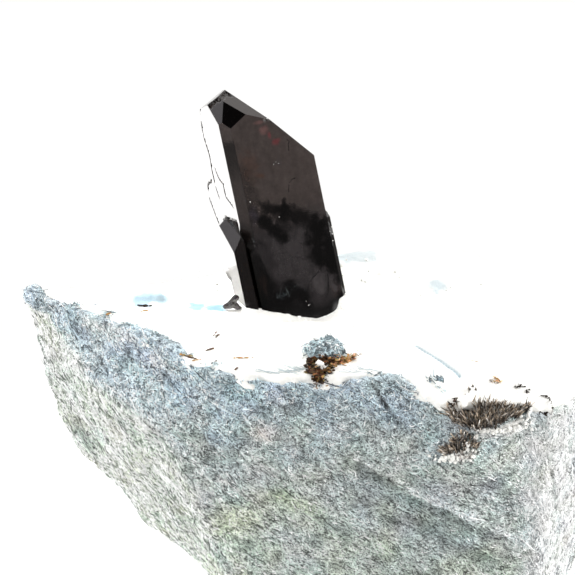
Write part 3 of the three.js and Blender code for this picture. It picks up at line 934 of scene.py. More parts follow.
# Cuts a thin V along a line on one face and marks its floor.
def cutCrack(bm, layer, crackLayer, name, line, width, depth):
    normal, across, up, distance = faceAxes(name)
    kind = faceNames.index(name)
    for (ax, ay), (bx, by) in zip(line, line[1:]):
        first = normal * distance + across * ax + up * ay
        last = normal * distance + across * bx + up * by
        along = (last - first).normalized()
        beside = normal.cross(along)
        middle, half = (first + last) / 2, (last - first).length / 2
        near = [f for f in bm.faces if f[layer] == kind
                and abs((f.calc_center_median() - middle).dot(along)) < half + 0.25
                and abs((f.calc_center_median() - middle).dot(beside)) < width / 2 + 0.25]
        if not near:
            continue
        geom = geometryOf(near)
        for offset in (-width / 2, width / 2, 0.0):
            geom = cutAlong(bm, geom, middle + beside * offset, beside)
        for v in (g for g in geom if isinstance(g, bmesh.types.BMVert)):
            offset = v.co - middle
            if abs(offset.dot(beside)) < 0.01 and abs(offset.dot(along)) < half and v[crackLayer] < 0.5:
                if all(f[layer] == kind for f in v.link_faces):
                    v.co -= normal * depth
                    v[crackLayer] = 1.0


# The display face's colour at (x, z): painted reflection, darker towards the foot, lighter near the right
# edge and dark in clouds, with glows from thin places.
def frontToneAndPaintedReflection(x, z):
    wander = noise.fractal(Vector((x * 1.5, 3.0, z * 1.5)), 0.7, 2.0, 4)
    tone = lookUp(paintedReflectionByHeight, z) * (1 + 0.16 * fade(x + 0.15 * z, 4.6, 6.6) * fade(z, 8, 12))
    tone *= 1 + 0.16 * noise.fractal(Vector((x * 1.6, 1.0, z * 0.6)), 0.8, 2.0, 4)
    for line, halfWidth, depth in paintedReflectionClouds:
        away = nearLine(x, z, line)[0] / (halfWidth * 1.25) + 0.5 * wander
        tone *= 1 - min(depth * 1.13, 0.98) * (1 - fade(away, 0.4, 1.6))
    body = blendColour(crystalColours["smoke"], crystalColours["brown"], fade(z, 7, 11))
    colour = blendColour(crystalColours["black"], body, tone)
    for (cx, cz), (rx, rz), name, strength in frontGlows:
        away = math.hypot((x - cx) / rx, (z - cz) / rz) + 0.5 * noise.noise(Vector((x * 2.3, 5, z * 2.3)))
        share = min(strength * (tone + 0.3), 1) * (1 - fade(away, 0.2, 1.3))
        colour = blendColour(colour, crystalColours[name], share)
    return colour


# How much a point belongs to the broken corner.
def brokenShare(point):
    away = min((point - first.lerp(last, step / 4)).length
               for first, last in zip(brokenTop, brokenTop[1:]) for step in range(5))
    return 1 - fade(away + 0.3 * noise.noise(point * 2.2), 0.46, 0.66)


def makeNeptuniteMaterial():
    material, tree, shader, inMm = startMaterial("glassyNeptunite", {"Roughness": 0.06, "IOR": 1.70})
    # the crystal's painted colour, painted reflection included
    tone = addNode(tree, "Attribute", {"attribute_name": "insideTone"})
    haze = addNode(tree, "TexNoise", {"Scale": 1.8, "Detail": 6, "Roughness": 0.7}, {"Vector": inMm})
    colour = unevenTone(tree, tone, haze, 0.82, 1.18)
    rough = addNode(tree, "MapRange", {1: 0.3, 2: 0.75, 3: 0.035, 4: 0.10}, {0: haze})
    broken = addNode(tree, "Mix", {3: 0.30}, {0: tone.outputs["Alpha"], 2: rough})
    striae = addNode(tree, "Mapping", {"Scale": (4, 4, 0.6)}, {"Vector": inMm})
    lines = addNode(tree, "TexNoise", {"Scale": 1.0, "Detail": 2}, {"Vector": striae})
    bump = addNode(tree, "Bump", {"Strength": 0.25, "Distance": 0.004 * mm}, {"Height": lines})
    feedNode(tree, shader, {"Base Color": colour, "Roughness": broken, "Normal": bump})
    return material


# Height of a face's own relief: growth hillocks, the broken corner, steps and ripples.
def crystalRelief(name, point, across, up):
    a, b = point.dot(across), point.dot(up)
    height = 0.004 * noise.fractal(Vector((a * 0.5, 7, b * 0.25)), 1.0, 2.0, 2)
    broken = brokenShare(point) if name in ("cap", "bevel", "topLeft") else 0.0
    if broken > 0:  # small tilted facets
        spot = point * 2.6
        tilt = noise.cell_vector(spot) - Vector((0.5, 0.5, 0.5))
        inCell = Vector([c - math.floor(c) - 0.5 for c in spot])
        height -= broken * (0.14 + 0.55 * tilt.dot(inCell) + 0.05 * noise.noise(point * 6))
    for place, reach, depth in edgeNicks:
        height -= depth * math.exp(-((point - Vector(place)).length / reach) ** 2)
    if name in growthFaces:  # terraces left by unequal growth
        terrace = noise.noise(Vector((a * 0.6, b * 0.09, 11)))
        terrace += 0.12 * noise.noise(Vector((a * 1.5, b * 0.7, 4)))
        ledges = 0.05 * fade(terrace, 0.0, 0.05) + 0.05 * fade(terrace, 0.26, 0.30)
        height += ledges - 0.05 * fade(-terrace, 0.3, 0.34)
    if name == "left":  # splintered steps above the short prism
        splinter = 1.0
        for place, middle, half, soft in zip((a, b), neptunite["splinters"], neptunite["splinterHalf"],
                                             neptunite["splinterSoft"]):
            splinter *= 1 - fade(abs(place - middle), half - soft, half)
        height -= splinter * neptunite["splinterDrop"] * ((a + 6) / neptunite["splinterStep"] % 1.0)
    if name == "front":  # faint rings about a shallow dimple
        away = math.hypot(a - 0.3, (b - 1.9) * 0.9)
        height += 0.002 * math.sin(away * math.tau / 0.34) * math.exp(-(away / 1.2) ** 2)
        height -= 0.03 * math.exp(-(away / 0.8) ** 2)
        height += 0.012 * noise.noise(point * 1.7) * (1 - fade(b, 0.2, 1.8))
    return height


# Divides the faces and gives them their relief, the groove, the flared foot and the cracks.
def shapeCrystal(bm, kindLayer, crackLayer):
    for face in bm.faces:
        face[kindLayer] = faceKind(face)
    found = [faceNames[k] for k in sorted({f[kindLayer] for f in bm.faces} - {-1, -2})]
    print("crystal faces", found)
    for name, step in faceGrids.items():
        if name in found:
            gridFace(bm, name, kindLayer, step)
    for v in bm.verts:
        names = {faceName(f[kindLayer]) for f in v.link_faces}
        if len(names) == 1 and names <= faceGrids.keys():
            name = names.pop()
            normal, across, up, _ = faceAxes(name)
            v.co += normal * crystalRelief(name, v.co, across, up)
    for v in bm.verts:  # the groove beside the short prism
        names = {faceName(f[kindLayer]) for f in v.link_faces}
        if "strip" in names and "sideFront" not in names:
            inward = min(max(v.co.y, 0.0) / neptunite["slitDepth"], 1.0)
            slit = neptunite["slitX"] - neptunite["slitTurn"] * inward
            v.co.x += (slit - v.co.x) * (1 - fade(v.co.z, *neptunite["slitHeights"]))
    for v in bm.verts:
        drop = max(neptunite["flareTop"] - v.co.z, 0.0)
        v.co.y -= (neptunite["flare"] * drop ** 2 * (1 - fade(v.co.y, 0.0, 2.2))
                   * (1 - fade(v.co.x, 3.2, 5.0)))
    for name, cracks in crystalCracks.items():
        for line, width, depth in cracks:
            cutCrack(bm, kindLayer, crackLayer, name, line, width, depth)
    bm.normal_update()


# Paints the crystal's colour, with painted reflection on the display face and the narrow strip; the alpha
# says where a surface is broken and dull.
def paintCrystal(bm, toneLayer, kindLayer, crackLayer):
    black, brown = crystalColours["black"], crystalColours["brown"]
    for v in bm.verts:
        names = [faceNames[k] for k in {f[kindLayer] for f in v.link_faces} if k >= 0]
        # the display face takes its painted reflection
        if "front" in names:
            tone = frontToneAndPaintedReflection(v.co.x, v.co.z)
        elif names:
            body = crystalColours["violet"] if names[0] in ("cap", "sideCap") else brown
            tone = blendColour(black, body, min(plainTones[n] for n in names))
        else:
            tone = blendColour(black, brown, 0.35)
        # painted reflection: the narrow strip is darkened by its streak
        if "strip" in names:
            tone = dimmed(tone, 1 - lookUp(stripShade, v.co.z + 0.5 * noise.noise(v.co * 1.3)))
        broken = brokenShare(v.co) if v.co.z > 18 else 0.0
        shade = 0.3 + 0.7 * fade(noise.noise(v.co * 4.0), -0.2, 0.5)
        tone = blendColour(tone, dimmed(crystalColours["chipBrown"], shade), broken)
        crack = v[crackLayer]
        v[toneLayer] = dimmed(tone, 1 - 0.95 * crack, min(broken + (0.0 if "front" in names else crack), 1.0))


# Keen edges between the faces, and flat facets where the crystal is broken or splintered.
def shadeCrystal(bm, toneLayer, kindLayer):
    leftAxes = faceAxes("left")[1:3]
    for face in bm.faces:
        kind = face[kindLayer]
        broken = min(v[toneLayer][3] for v in face.verts) > 0.5
        if faceName(kind) == "left":
            middle = face.calc_center_median()
            broken = broken or all(abs(middle.dot(axis) - place) < half for axis, place, half in
                                   zip(leftAxes, neptunite["splinters"], neptunite["splinterHalf"]))
        face.smooth = (faceName(kind) in faceGrids or kind == -2) and not broken
    for edge in bm.edges:
        kinds = {f[kindLayer] for f in edge.link_faces}
        edge.smooth = len(kinds) == 1 or min(kinds) < 0


def makeCrystal():
    bm = copyOfNode("neptunite_crystal")
    bmesh.ops.transform(bm, matrix=crystalPlace.inverted(), verts=bm.verts)
    bmesh.ops.dissolve_limit(bm, angle_limit=math.radians(1.0), verts=bm.verts, edges=bm.edges)
    sharp = [e for e in bm.edges if e.is_manifold and e.calc_face_angle() > math.radians(4)
             and abs((e.verts[0].co - e.verts[1].co).normalized().z) < 0.97]  # the long edges stay keen
    bmesh.ops.bevel(bm, geom=sharp, offset=neptunite["edge"], offset_type="OFFSET", segments=2, profile=0.5,
                    affect="EDGES", material=-1, clamp_overlap=True)
    bm.normal_update()
    kindLayer = bm.faces.layers.int.new("kind")
    crackLayer = bm.verts.layers.float.new("crack")
    shapeCrystal(bm, kindLayer, crackLayer)
    toneLayer = bm.verts.layers.float_color.new("insideTone")
    paintCrystal(bm, toneLayer, kindLayer, crackLayer)
    shadeCrystal(bm, toneLayer, kindLayer)
    bm.faces.layers.int.remove(kindLayer)
    bmesh.ops.transform(bm, matrix=crystalPlace, verts=bm.verts)
    finishPiece(bm, "neptunite_prism", neptuniteMaterial, "neptunite_crystal")


neptuniteMaterial = makeNeptuniteMaterial()
makeCrystal()


# Specks of natrolite dust on the display face: (x, z) and size in mm
dust = [(-2.38, 11.65, 0.05), (0.15, 9.5, 0.04), (0.96, 15.0, 0.03), (0.66, 14.81, 0.03), (1.17, 14.78, 0.03),
        (1.19, 0.05, 0.05), (1.03, 0.49, 0.035), (1.32, 0.12, 0.03), (0.97, 19.45, 0.05), (5.0, 6.6, 0.06),
        (5.05, 7.3, 0.05), (4.9, 5.9, 0.05), (4.8, 6.9, 0.03)]


def makeDust():
    rng = random.Random(41)
    bm = bmesh.new()
    for x, z, size in dust:
        drop = max(neptunite["flareTop"] - z, 0.0)
        addCrumb(bm, rng, (x, -neptunite["flare"] * drop ** 2 - size * 0.4, z), size, 0.3)
    bmesh.ops.transform(bm, matrix=crystalPlace, verts=bm.verts)
    bm.verts.layers.float.new("veil")
    finishPiece(bm, "natrolite_dust", natroliteMaterial)


makeDust()


# Small crossed chip of neptunite beside the crystal: its hackly break, in mm, and its tone
chip = {"swell": 0.13, "hackle": 0.12, "grain": 0.04, "tone": "#2c2625", "dullness": 0.5}


def makeChip():
    rng = random.Random(23)
    bm = copyOfNode("neptunite_chip")
    bmesh.ops.subdivide_edges(bm, edges=bm.edges, cuts=2, use_grid_fill=True)
    pushOut(bm, lambda point, normal: chip["swell"] + chip["hackle"] * noise.noise(point * 3.5)
            + chip["grain"] * noise.noise(point * 9))
    toneLayer = bm.verts.layers.float_color.new("insideTone")
    tone = linearColour(chip["tone"])
    for v in bm.verts:
        v[toneLayer] = tuple(c * rng.uniform(0.6, 1.4) for c in tone[:3]) + (chip["dullness"],)
    finishPiece(bm, "neptunite_splinter", neptuniteMaterial, "neptunite_chip")


makeChip()


# Loose lump of schist on the crust: heights of its relief in mm, and the share of its height taken off
clast = {"voxel": 0.12, "rough": 0.28, "hollows": 0.12, "grain": 0.08, "lowered": 0.12, "strands": 1100}
clastBlue = linearColour("#b6c7cd")


def clastTint(point, normal):
    return dimmed(clastBlue, 0.55 + 0.75 * fade(noise.noise(point * 1.8), -0.3, 0.4))


def clastRelief(point, normal):
    return (clast["rough"] * noise.fractal(point * 1.5, 0.8, 2.1, 4)
            - clast["hollows"] * fade(noise.noise(point * 2.2), 0.1, 0.5)
            + clast["grain"] * noise.noise(point * 6))


def makeClast():
    bm = evenSkin(copyOfNode("schist_clast"), clast["voxel"])
    pushOut(bm, clastRelief)
    low = min(v.co.z for v in bm.verts)
    middle = sum(v.co.x for v in bm.verts) / len(bm.verts)
    for v in bm.verts:  # lower on its left
        share = 0.9 + 0.08 * fade(v.co.x - middle, -1.5, 0.5) - clast["lowered"]
        v.co.z = low + (v.co.z - low) * share
    paintSchist(bm, clastTint)
    spots = spotsOn(bm, lambda v: v.normal.z > -0.4)
    finishPiece(bm, "schist_lump", schistMaterial, "schist_clast", smooth=True)
    makeFelt("schist_lump_felt", spots, random.Random(5), clast["strands"])


makeClast()


# Brown blades: flat rusted needles in fans, dark and silky with pale tan ends; the dark roots are partly
# painted shade and the pale ends partly painted highlight
tufts = {
    "root": "#0b0603", "middle": "#3b2a1f", "tip": "#dccab4", "ash": "#ece6de",
    # fans: root (x, z), turn from straight up, half spread in degrees, blades, length
    "large": [
        ((11.9, 28.9), -46, 26, 60, 1.3), ((12.6, 28.4), -34, 28, 80, 1.4), ((13.5, 27.9), -20, 30, 90, 1.5),
        ((14.5, 27.6), -8, 30, 95, 1.6), ((15.6, 27.8), 4, 30, 95, 1.5), ((16.7, 28.1), 14, 30, 95, 1.4),
        ((17.8, 28.5), 24, 30, 85, 1.3), ((18.7, 29.0), 36, 28, 60, 1.1), ((13.0, 28.8), -20, 32, 70, 1.3),
        ((14.2, 28.5), -10, 32, 80, 1.4), ((15.4, 28.4), 0, 32, 80, 1.4), ((16.6, 28.5), 10, 32, 80, 1.3),
        ((17.7, 28.8), 20, 32, 60, 1.2), ((14.4, 29.3), -8, 32, 60, 1.2), ((15.4, 29.4), 0, 32, 60, 1.2),
        ((16.5, 29.2), 12, 32, 50, 1.1), ((13.6, 30.8), -5, 34, 14, 0.55), ((11.9, 29.6), -50, 30, 24, 0.6),
    ],
    "small": [
        ((11.3, 25.2), -56, 22, 50, 1.0), ((12.0, 25.3), -32, 28, 60, 1.1), ((12.9, 25.3), -4, 30, 64, 1.0),
        ((13.8, 25.7), 30, 28, 50, 0.9), ((12.4, 26.1), -20, 34, 60, 1.0), ((13.2, 26.2), 12, 34, 50, 0.9),
        ((12.8, 26.9), -2, 30, 36, 0.9),
    ],
    "thinning": 0.68, "width": (0.06, 0.15), "flatness": 0.3, "taper": 0.25,
}
bladeColours = coloursIn(tufts)


def makeBladeMaterial():
    material, tree, shader, inMm = startMaterial("rustyBlades", {"Roughness": 0.5, "IOR": 1.6,
                                                                 "Specular IOR Level": 0.2})
    tone = addNode(tree, "Attribute", {"attribute_name": "bladeTone"})
    streak = addNode(tree, "TexNoise", {"Scale": 5, "Detail": 3}, {"Vector": inMm})
    colour = unevenTone(tree, tone, streak, 0.6, 1.35)
    bump = addNode(tree, "Bump", {"Strength": 0.5, "Distance": 0.03 * mm}, {"Height": streak})
    feedNode(tree, shader, {"Base Color": colour, "Normal": bump})
    return material


# One thin tapering blade, coloured from a dark root to a pale tip: partly painted shade and partly painted
# highlight.
def addBlade(bm, layer, rng, start, direction, length, width):
    verts = bmesh.ops.create_cone(bm, cap_ends=True, segments=4, radius1=width,
                                  radius2=width * tufts["taper"], depth=length)["verts"]
    bmesh.ops.translate(bm, vec=(0, 0, length / 2), verts=verts)
    bmesh.ops.scale(bm, vec=(1, tufts["flatness"], 1), verts=verts)
    shade = rng.uniform(0.25, 0.65) if rng.random() < 0.5 else rng.uniform(1.0, 1.9)
    end = bladeColours["ash"] if rng.random() < 0.35 else bladeColours["tip"]
    for v in verts:
        if v.co.z < length / 2:
            tone = blendColour(bladeColours["root"], bladeColours["middle"], rng.uniform(0.0, 0.6))
        else:
            tone = blendColour(bladeColours["middle"], end, rng.uniform(0.25, 1.0))
        v[layer] = dimmed(tone, shade)
    aim = direction.to_track_quat("Z", "Y").to_matrix().to_4x4()
    spin = Matrix.Rotation(rng.uniform(0, math.pi), 4, "Z")
    bmesh.ops.transform(bm, matrix=Matrix.Translation(start) @ (aim @ spin), verts=verts)


def makeTuft(nodeName, fans, pieceName, seed):
    rng = random.Random(seed)
    bm = bmesh.new()
    layer = bm.verts.layers.float_color.new("bladeTone")
    for root, turn, spread, count, length in fans:
        for _ in range(int(count * tufts["thinning"])):
            fan = math.radians(turn + rng.gauss(0, spread * 0.55))
            lean = math.radians(rng.gauss(20, 20))  # out from the rock
            out = math.cos(lean)
            direction = Vector((math.sin(fan) * out, -math.sin(lean), math.cos(fan) * out))
            start = standOn(root[0] + rng.gauss(0, 0.32), root[1] + rng.gauss(0, 0.22))
            start.y += rng.uniform(-0.35, 0.2)
            bladeLength = length * rng.uniform(0.45, 1.0)
            addBlade(bm, layer, rng, start, direction, bladeLength, rng.uniform(*tufts["width"]))
    finishPiece(bm, pieceName, bladeMaterial, nodeName)


bladeMaterial = makeBladeMaterial()
makeTuft("brown_tuft_large", tufts["large"], "blade_tuft_large", 4)
makeTuft("brown_tuft_small", tufts["small"], "blade_tuft_small", 9)


# Rust: flaky brown limonite on the rim, and loose bits of it on the crust
rust = {
    # the run of the clustered flakes: centre, spread, flakes up to the next centre, flake size (mm)
    "clusters": [((-1.6, -13.3, 32.8), 0.34, 120, 0.36), ((-1.2, -14.0, 32.1), 0.34, 120, 0.36),
                 ((-0.3, -13.6, 32.6), 0.22, 60, 0.30), ((0.3, -12.7, 33.0), 0.22, 60, 0.30),
                 ((-0.3, -13.5, 32.7), 0.30, 60, 0.34), ((-1.5, -12.9, 33.1), 0.24, 70, 0.32),
                 ((-1.7, -12.0, 33.3), 0.20, 60, 0.30), ((-0.7, -11.4, 33.4), 0.18, 60, 0.28),
                 ((0.2, -12.0, 33.3), 0.22, 90, 0.30), ((1.4, -11.8, 33.35), 0.2, 60, 0.28),
                 ((2.1, -11.2, 33.4), 0.14, 26, 0.22), ((2.9, -10.5, 33.5), 0.05, 0, 0.2)],
    "dark": "#20150c", "brown": "#573a22", "tan": "#b08a55", "orange": "#dcb588", "bronze": "#4c4032",
    # the colours drawn from in the cluster and in its lighter arm, which begins at this x; the tan flakes in
    # the dark cluster are partly painted glints
    "clusterMix": ("dark", "dark", "dark", "brown", "brown", "tan"),
    "armMix": ("brown", "tan", "tan", "orange"), "armStart": 0.6,
    # loose flakes on the crust: x, y, size, turn in degrees, colour
    "loose": [(-10.8, -6.1, 0.34, 60, "brown"), (-11.0, -5.6, 0.22, 70, "brown"),
              (-11.6, -9.4, 0.34, 30, "brown"), (-13.6, -10.6, 0.58, 10, "tan"),
              (-13.3, -10.9, 0.42, 160, "brown"), (-12.7, -11.3, 0.3, 30, "tan"),
              (-8.5, -10.9, 0.36, 0, "tan"), (-8.0, -10.8, 0.3, 10, "tan"), (-8.8, -12.8, 0.24, 40, "brown"),
              (-11.0, -11.5, 0.26, 45, "dark"), (-21.6, -2.4, 0.34, 50, "tan"), (-18.1, -0.8, 0.3, 20, "tan"),
              (-18.4, 0.5, 0.5, 170, "dark"), (14.2, -9.4, 0.16, 0, "tan")],
    "flakesPerBit": 9,
}
rustColours = coloursIn(rust)


# A thin jagged flake, at any tip or lying flat.
def addFlake(bm, layer, rng, place, size, tone, flat=False):
    verts = bmesh.ops.create_icosphere(bm, subdivisions=1, radius=size)["verts"]
    bmesh.ops.scale(bm, vec=(1, rng.uniform(0.35, 0.8), rng.uniform(0.10, 0.24)), verts=verts)
    for v in verts:
        v.co += shake(rng, z=0.5) * size * 0.2
        v[layer] = tuple(c * rng.uniform(0.65, 1.35) for c in tone[:3]) + (1,)
    tip = rng.uniform(-0.3, 0.3) if flat else rng.uniform(0, math.pi)
    turn = Matrix.Rotation(rng.uniform(0, math.tau), 4, "Z") @ Matrix.Rotation(tip, 4, "X")
    bmesh.ops.transform(bm, matrix=Matrix.Translation(place) @ turn, verts=verts)


def makeRust():
    rng = random.Random(3)
    bm = bmesh.new()
    layer = bm.verts.layers.float_color.new("bladeTone")
    for (centre, spread, count, size), following in zip(rust["clusters"], rust["clusters"][1:]):
        for _ in range(count):
            spot = Vector(centre).lerp(Vector(following[0]), rng.random())
            spot += strew(rng, spread, spread, spread)
            names = rust["clusterMix"] if spot.x < rust["armStart"] else rust["armMix"]
            first, second = rustColours[rng.choice(names)], rustColours[rng.choice(names)]
            tone = blendColour(first, second, rng.random() * 0.4)
            addFlake(bm, layer, rng, spot, size * rng.uniform(0.4, 1.1), tone)
    finishPiece(bm, "rust_flakes", bladeMaterial, "rust_cluster")
    bm = bmesh.new()
    layer = bm.verts.layers.float_color.new("bladeTone")
    for x, y, size, turn, name in rust["loose"]:
        run = Vector((math.cos(math.radians(turn)), math.sin(math.radians(turn)), 0))
        for _ in range(rust["flakesPerBit"]):
            spot = Vector((x, y, 0)) + run * rng.gauss(0, 0.8) * size
            spot.z = restOn(spot.x, spot.y) + 0.06
            addFlake(bm, layer, rng, spot, size * rng.uniform(0.35, 0.7), rustColours[name], flat=True)
    finishPiece(bm, "rust_crumbs", bladeMaterial)


makeRust()


# Odd bits lodged on the rim at the right: an orange tuft, dark buds and crumbs, a dark curl and a clump
lodged = {
    "orange": (16.2, -11.7, 31.2),
    # bits in small heaps: places, flakes in each, spreads, flake size, colours
    "heaps": [
        ([(11.9, -14.45, 29.8), (12.0, -14.4, 30.1), (12.2, -14.2, 30.35)], 8, (0.12, 0.06, 0.14),
         (0.12, 0.22), ("dark", "bronze")),
        ([(18.1, -11.95, 30.75), (18.35, -11.95, 30.85), (18.65, -11.95, 30.7), (19.2, -12.0, 30.4)], 7,
         (0.14, 0.08, 0.1), (0.10, 0.2), None),
    ],
    "curl": [(20.48, -12.2, 29.9), (20.8, -12.1, 29.87), (21.18, -12.0, 29.72), (21.45, -12.3, 29.44),
             (21.57, -12.3, 28.9), (21.65, -12.7, 28.5), (21.43, -13.25, 28.4), (21.05, -13.2, 28.6),
             (20.84, -13.4, 28.4), (20.48, -13.1, 28.55), (20.16, -12.4, 28.35)],
    # grey clump: place, knobs and their spreads and size, voxel, relief in mm, strands
    "clump": (10.2, -12.95, 31.7), "knobs": 12, "knobSpread": (0.42, 0.15, 0.12), "knobSize": (0.16, 0.32),
    "clumpTone": "#7f9098", "voxel": 0.1, "rough": 0.16, "strands": 110,
    "standOut": 0.12,  # mm that a bit stands out of the surface where it would be buried
}


# The same place, brought out in front of the surface where it would be buried.
def outside(spot):
    return Vector((spot.x, min(spot.y, standOn(spot.x, spot.z).y - lodged["standOut"]), spot.z))


def makeLodgedBits():
    rng = random.Random(17)
    bm = bmesh.new()
    layer = bm.verts.layers.float_color.new("bladeTone")
    for _ in range(34):
        spot = Vector(lodged["orange"]) + strew(rng, 0.28, 0.15, 0.2)
        size = rng.uniform(0.10, 0.24)
        addFlake(bm, layer, rng, spot, size, rustColours[rng.choice(("orange", "tan", "brown"))])
    for places, count, spreads, sizes, names in lodged["heaps"]:
        for place in places:
            for _ in range(count):
                spot = outside(Vector(place) + strew(rng, *spreads))
                size = rng.uniform(*sizes)
                addFlake(bm, layer, rng, spot, size, rustColours[rng.choice(names) if names else "dark"])
    for first, last in zip(lodged["curl"], lodged["curl"][1:]):
        for step in range(4):
            spot = Vector(first).lerp(Vector(last), step / 4)
            spot = outside(spot + Vector((rng.gauss(0, 0.05), rng.gauss(0, 0.05), 0)))
            addFlake(bm, layer, rng, spot, rng.uniform(0.10, 0.19), rustColours["dark"])
    finishPiece(bm, "lodged_bits", bladeMaterial)
    return rng


def makeClump(rng):
    bm = bmesh.new()
    for _ in range(lodged["knobs"]):
        spot = Vector(lodged["clump"]) + strew(rng, *lodged["knobSpread"])
        addLump(bm, spot, rng.uniform(*lodged["knobSize"]))
    bm = evenSkin(bm, lodged["voxel"], smoothing=1)
    pushOut(bm, lambda point, normal: lodged["rough"] * noise.fractal(point * 2.2, 0.8, 2.1, 3))
    tone = linearColour(lodged["clumpTone"])
    paintSchist(bm, lambda point, normal: tone)
    towardsDisplay = Vector((0, -1, 0))
    spots = [(place, towardsDisplay, tint) for place, _, tint in spotsOn(bm, lambda v: v.normal.z > 0)]
    finishPiece(bm, "schist_clump", schistMaterial, smooth=True)
    makeFelt("schist_clump_felt", spots, rng, lodged["strands"], Vector((0.1, 0, 1)))


makeClump(makeLodgedBits())


# Dark wisps of schist that stray over the crust's rim, and loose grey needles of natrolite lying on it
strays = {
    # x, y, reach, how many
    "wisps": [(-25.6, -1.6, 0.6, 30), (-24.9, -0.6, 0.5, 22), (-22.4, -2.6, 0.5, 20), (-21.4, -2.2, 0.4, 16),
              (-19.8, -6.4, 0.8, 34), (-17.8, -6.8, 0.7, 34), (-16.5, -8.2, 0.5, 36), (-15.8, -9.2, 0.4, 26),
              (-13.7, -10.4, 0.4, 20), (-11.0, -12.0, 0.5, 22), (4.6, -13.6, 0.5, 24),
              (10.4, -13.6, 0.5, 16)],
    "needles": [(-5.6, -13.5, 0.7, 7), (-4.2, -13.5, 0.6, 10), (-3.0, -13.2, 0.6, 12), (-2.8, -12.6, 0.5, 6),
                (2.8, -13.4, 0.6, 6), (4.0, -13.1, 0.5, 5)],
    "wispTone": "#a9b6ba", "strandsPerWisp": 1.3, "wispDarkest": 0.4,
    "needleLength": (1.0, 2.4), "needleRadius": (0.025, 0.05), "needleVeil": 0.5,
    "lowestWisp": 28, "lowestNeedle": 30,  # heights past the edge of the block and of the crust
}


def makeWisps(rng):
    spots = []
    tone = linearColour(strays["wispTone"])
    for x, y, reach, count in strays["wisps"]:
        for _ in range(count):
            spotX, spotY = x + rng.gauss(0, reach), y + rng.gauss(0, reach * 0.4)
            height = restOn(spotX, spotY) + 0.05
            if height >= strays["lowestWisp"]:
                spots.append((Vector((spotX, spotY, height)), Vector((0, -0.6, 0.8)), tone))
    count = int(len(spots) * strays["strandsPerWisp"])
    makeFelt("stray_wisps", spots, rng, count, None, strays["wispDarkest"])


def makeNeedles(rng):
    bm = bmesh.new()
    layer = bm.verts.layers.float.new("veil")
    for x, y, reach, count in strays["needles"]:
        for _ in range(count):
            spotX, spotY = x + rng.gauss(0, reach), y + rng.gauss(0, reach * 0.3)
            height = restOn(spotX, spotY)
            if height < strays["lowestNeedle"]:
                continue
            radius = rng.uniform(*strays["needleRadius"])
            verts = bmesh.ops.create_cone(bm, cap_ends=True, segments=5, radius1=radius, radius2=radius * 0.4,
                                          depth=rng.uniform(*strays["needleLength"]))["verts"]
            for v in verts:
                v[layer] = strays["needleVeil"]
            turn = Matrix.Rotation(math.radians(rng.gauss(0, 8)), 4, "Z")
            tip = Matrix.Rotation(math.radians(rng.gauss(103, 6)), 4, "Y")
            place = Matrix.Translation((spotX, spotY, height + 0.04))
            bmesh.ops.transform(bm, matrix=place @ (turn @ tip), verts=verts)
    finishPiece(bm, "natrolite_needles", natroliteMaterial)


strayDraws = random.Random(37)
makeWisps(strayDraws)
makeNeedles(strayDraws)


# White crumbs of natrolite scattered where the crystal, the chip and the lump stand
crumbs = {
    # places to scatter round: x, y, spread, count, size
    "heaps": [(-2.2, 0.2, 0.7, 9, 0.16), (1.9, 0.6, 0.5, 8, 0.16), (5.5, -3.2, 1.2, 12, 0.15),
              (-5.8, 1.6, 0.8, 7, 0.17), (0.4, -8.0, 1.5, 10, 0.16), (-2.0, -10.6, 0.8, 8, 0.15),
              (10.0, -4.0, 2.4, 12, 0.15), (-14.0, -4.0, 3.5, 16, 0.16), (14.0, 4.0, 3.0, 14, 0.18),
              (-8.0, 8.0, 3.0, 14, 0.2), (4.0, 9.0, 3.0, 14, 0.2)],
    # grit on the display side round the tufts: x, height, spread across, spread up, count, size
    "grit": [(11.5, 24.5, 0.8, 0.25, 46, 0.17), (13.3, 25.4, 0.4, 0.5, 18, 0.14),
             (16.4, 27.2, 1.5, 0.16, 60, 0.14), (18.9, 28.1, 0.5, 0.3, 20, 0.13)],
}


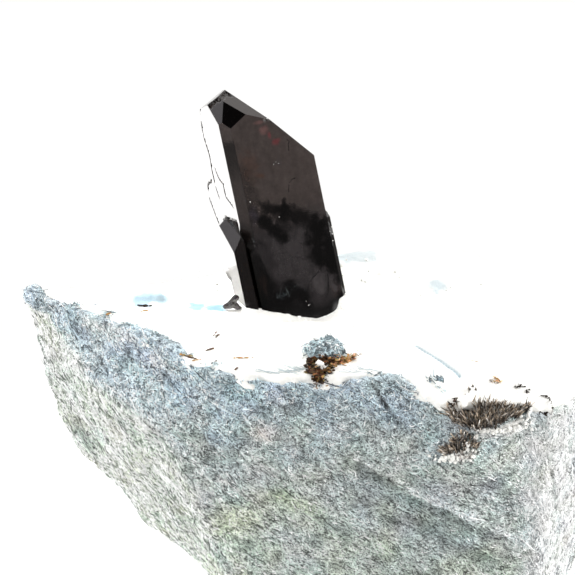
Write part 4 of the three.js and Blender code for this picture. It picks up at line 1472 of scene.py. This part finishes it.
def makeCrumbs():
    rng = random.Random(29)
    bm = bmesh.new()
    for x, y, spread, count, size in crumbs["heaps"]:
        for _ in range(count):
            spotX, spotY = x + rng.gauss(0, spread), y + rng.gauss(0, spread)
            radius = size * rng.uniform(0.6, 1.3)
            addCrumb(bm, rng, (spotX, spotY, restOn(spotX, spotY) + radius * 0.35), radius, 0.25)
    for x, z, across, up, count, size in crumbs["grit"]:
        for _ in range(count):
            radius = size * rng.uniform(0.5, 1.3)
            spot = standOn(x + rng.gauss(0, across), z + rng.gauss(0, up))
            addCrumb(bm, rng, spot - Vector((0, radius * 0.6 + 0.1, 0)), radius, 0.3)
    bm.verts.layers.float.new("veil")
    finishPiece(bm, "natrolite_crumbs", natroliteMaterial)


makeCrumbs()


# Soft lamps that model the rock: compass turn and rise in degrees, distance, size, watts
lamps = {
    "overhead": (-50, 62, 0.62, 0.35, 1.3),
    "display": (-8, 18, 0.6, 0.30, 0.45),
    "leftSide": (-86, 12, 0.6, 0.25, 2.5),
    "rightSide": (88, 10, 0.6, 0.25, 2.9),
}
lampAim = Vector((0, 0, 0.025))  # the specimen's middle
# A narrow lamp that lights only the crust which the short prism mirrors: degrees, metres and watts
crustLamp = {
    "turn": -140, "rise": 56, "distance": 0.25, "aim": (-0.0125, 0.006, 0.034), "cone": 4.4,
    "size": 0.01, "watts": 20, "lights": ("natrolite_bed", "natrolite_crumbs", "natrolite_needles"),
}


# Hangs a lamp up at a heading, out of the crystal's reflections.
def hangLamp(lampData, aim, turn, rise, distance):
    lamp = bpy.data.objects.new(lampData.name, lampData)
    lamp.location = aim + heading(turn, rise) * distance
    lamp.rotation_euler = heading(turn, rise).to_track_quat("Z", "Y").to_euler()
    lamp.visible_glossy = False
    scene.collection.objects.link(lamp)
    return lamp


for name, (turn, rise, distance, size, watts) in lamps.items():
    softData = bpy.data.lights.new(name, "AREA")
    softData.shape = "DISK"
    softData.size = size
    softData.energy = watts
    hangLamp(softData, lampAim, turn, rise, distance)
patchData = bpy.data.lights.new("crustPatch", "SPOT")
patchData.energy = crustLamp["watts"]
patchData.spot_size = math.radians(crustLamp["cone"])
patchData.spot_blend = 1.0
patchData.shadow_soft_size = crustLamp["size"]
crustOnly = bpy.data.collections.new("crustOnly")
for name in crustLamp["lights"]:
    crustOnly.objects.link(bpy.data.objects[name])
patch = hangLamp(patchData, Vector(crustLamp["aim"]), crustLamp["turn"], crustLamp["rise"],
                 crustLamp["distance"])
patch.light_linking.receiver_collection = crustOnly
scene.view_settings.view_transform = "Standard"
print("lit the specimen")
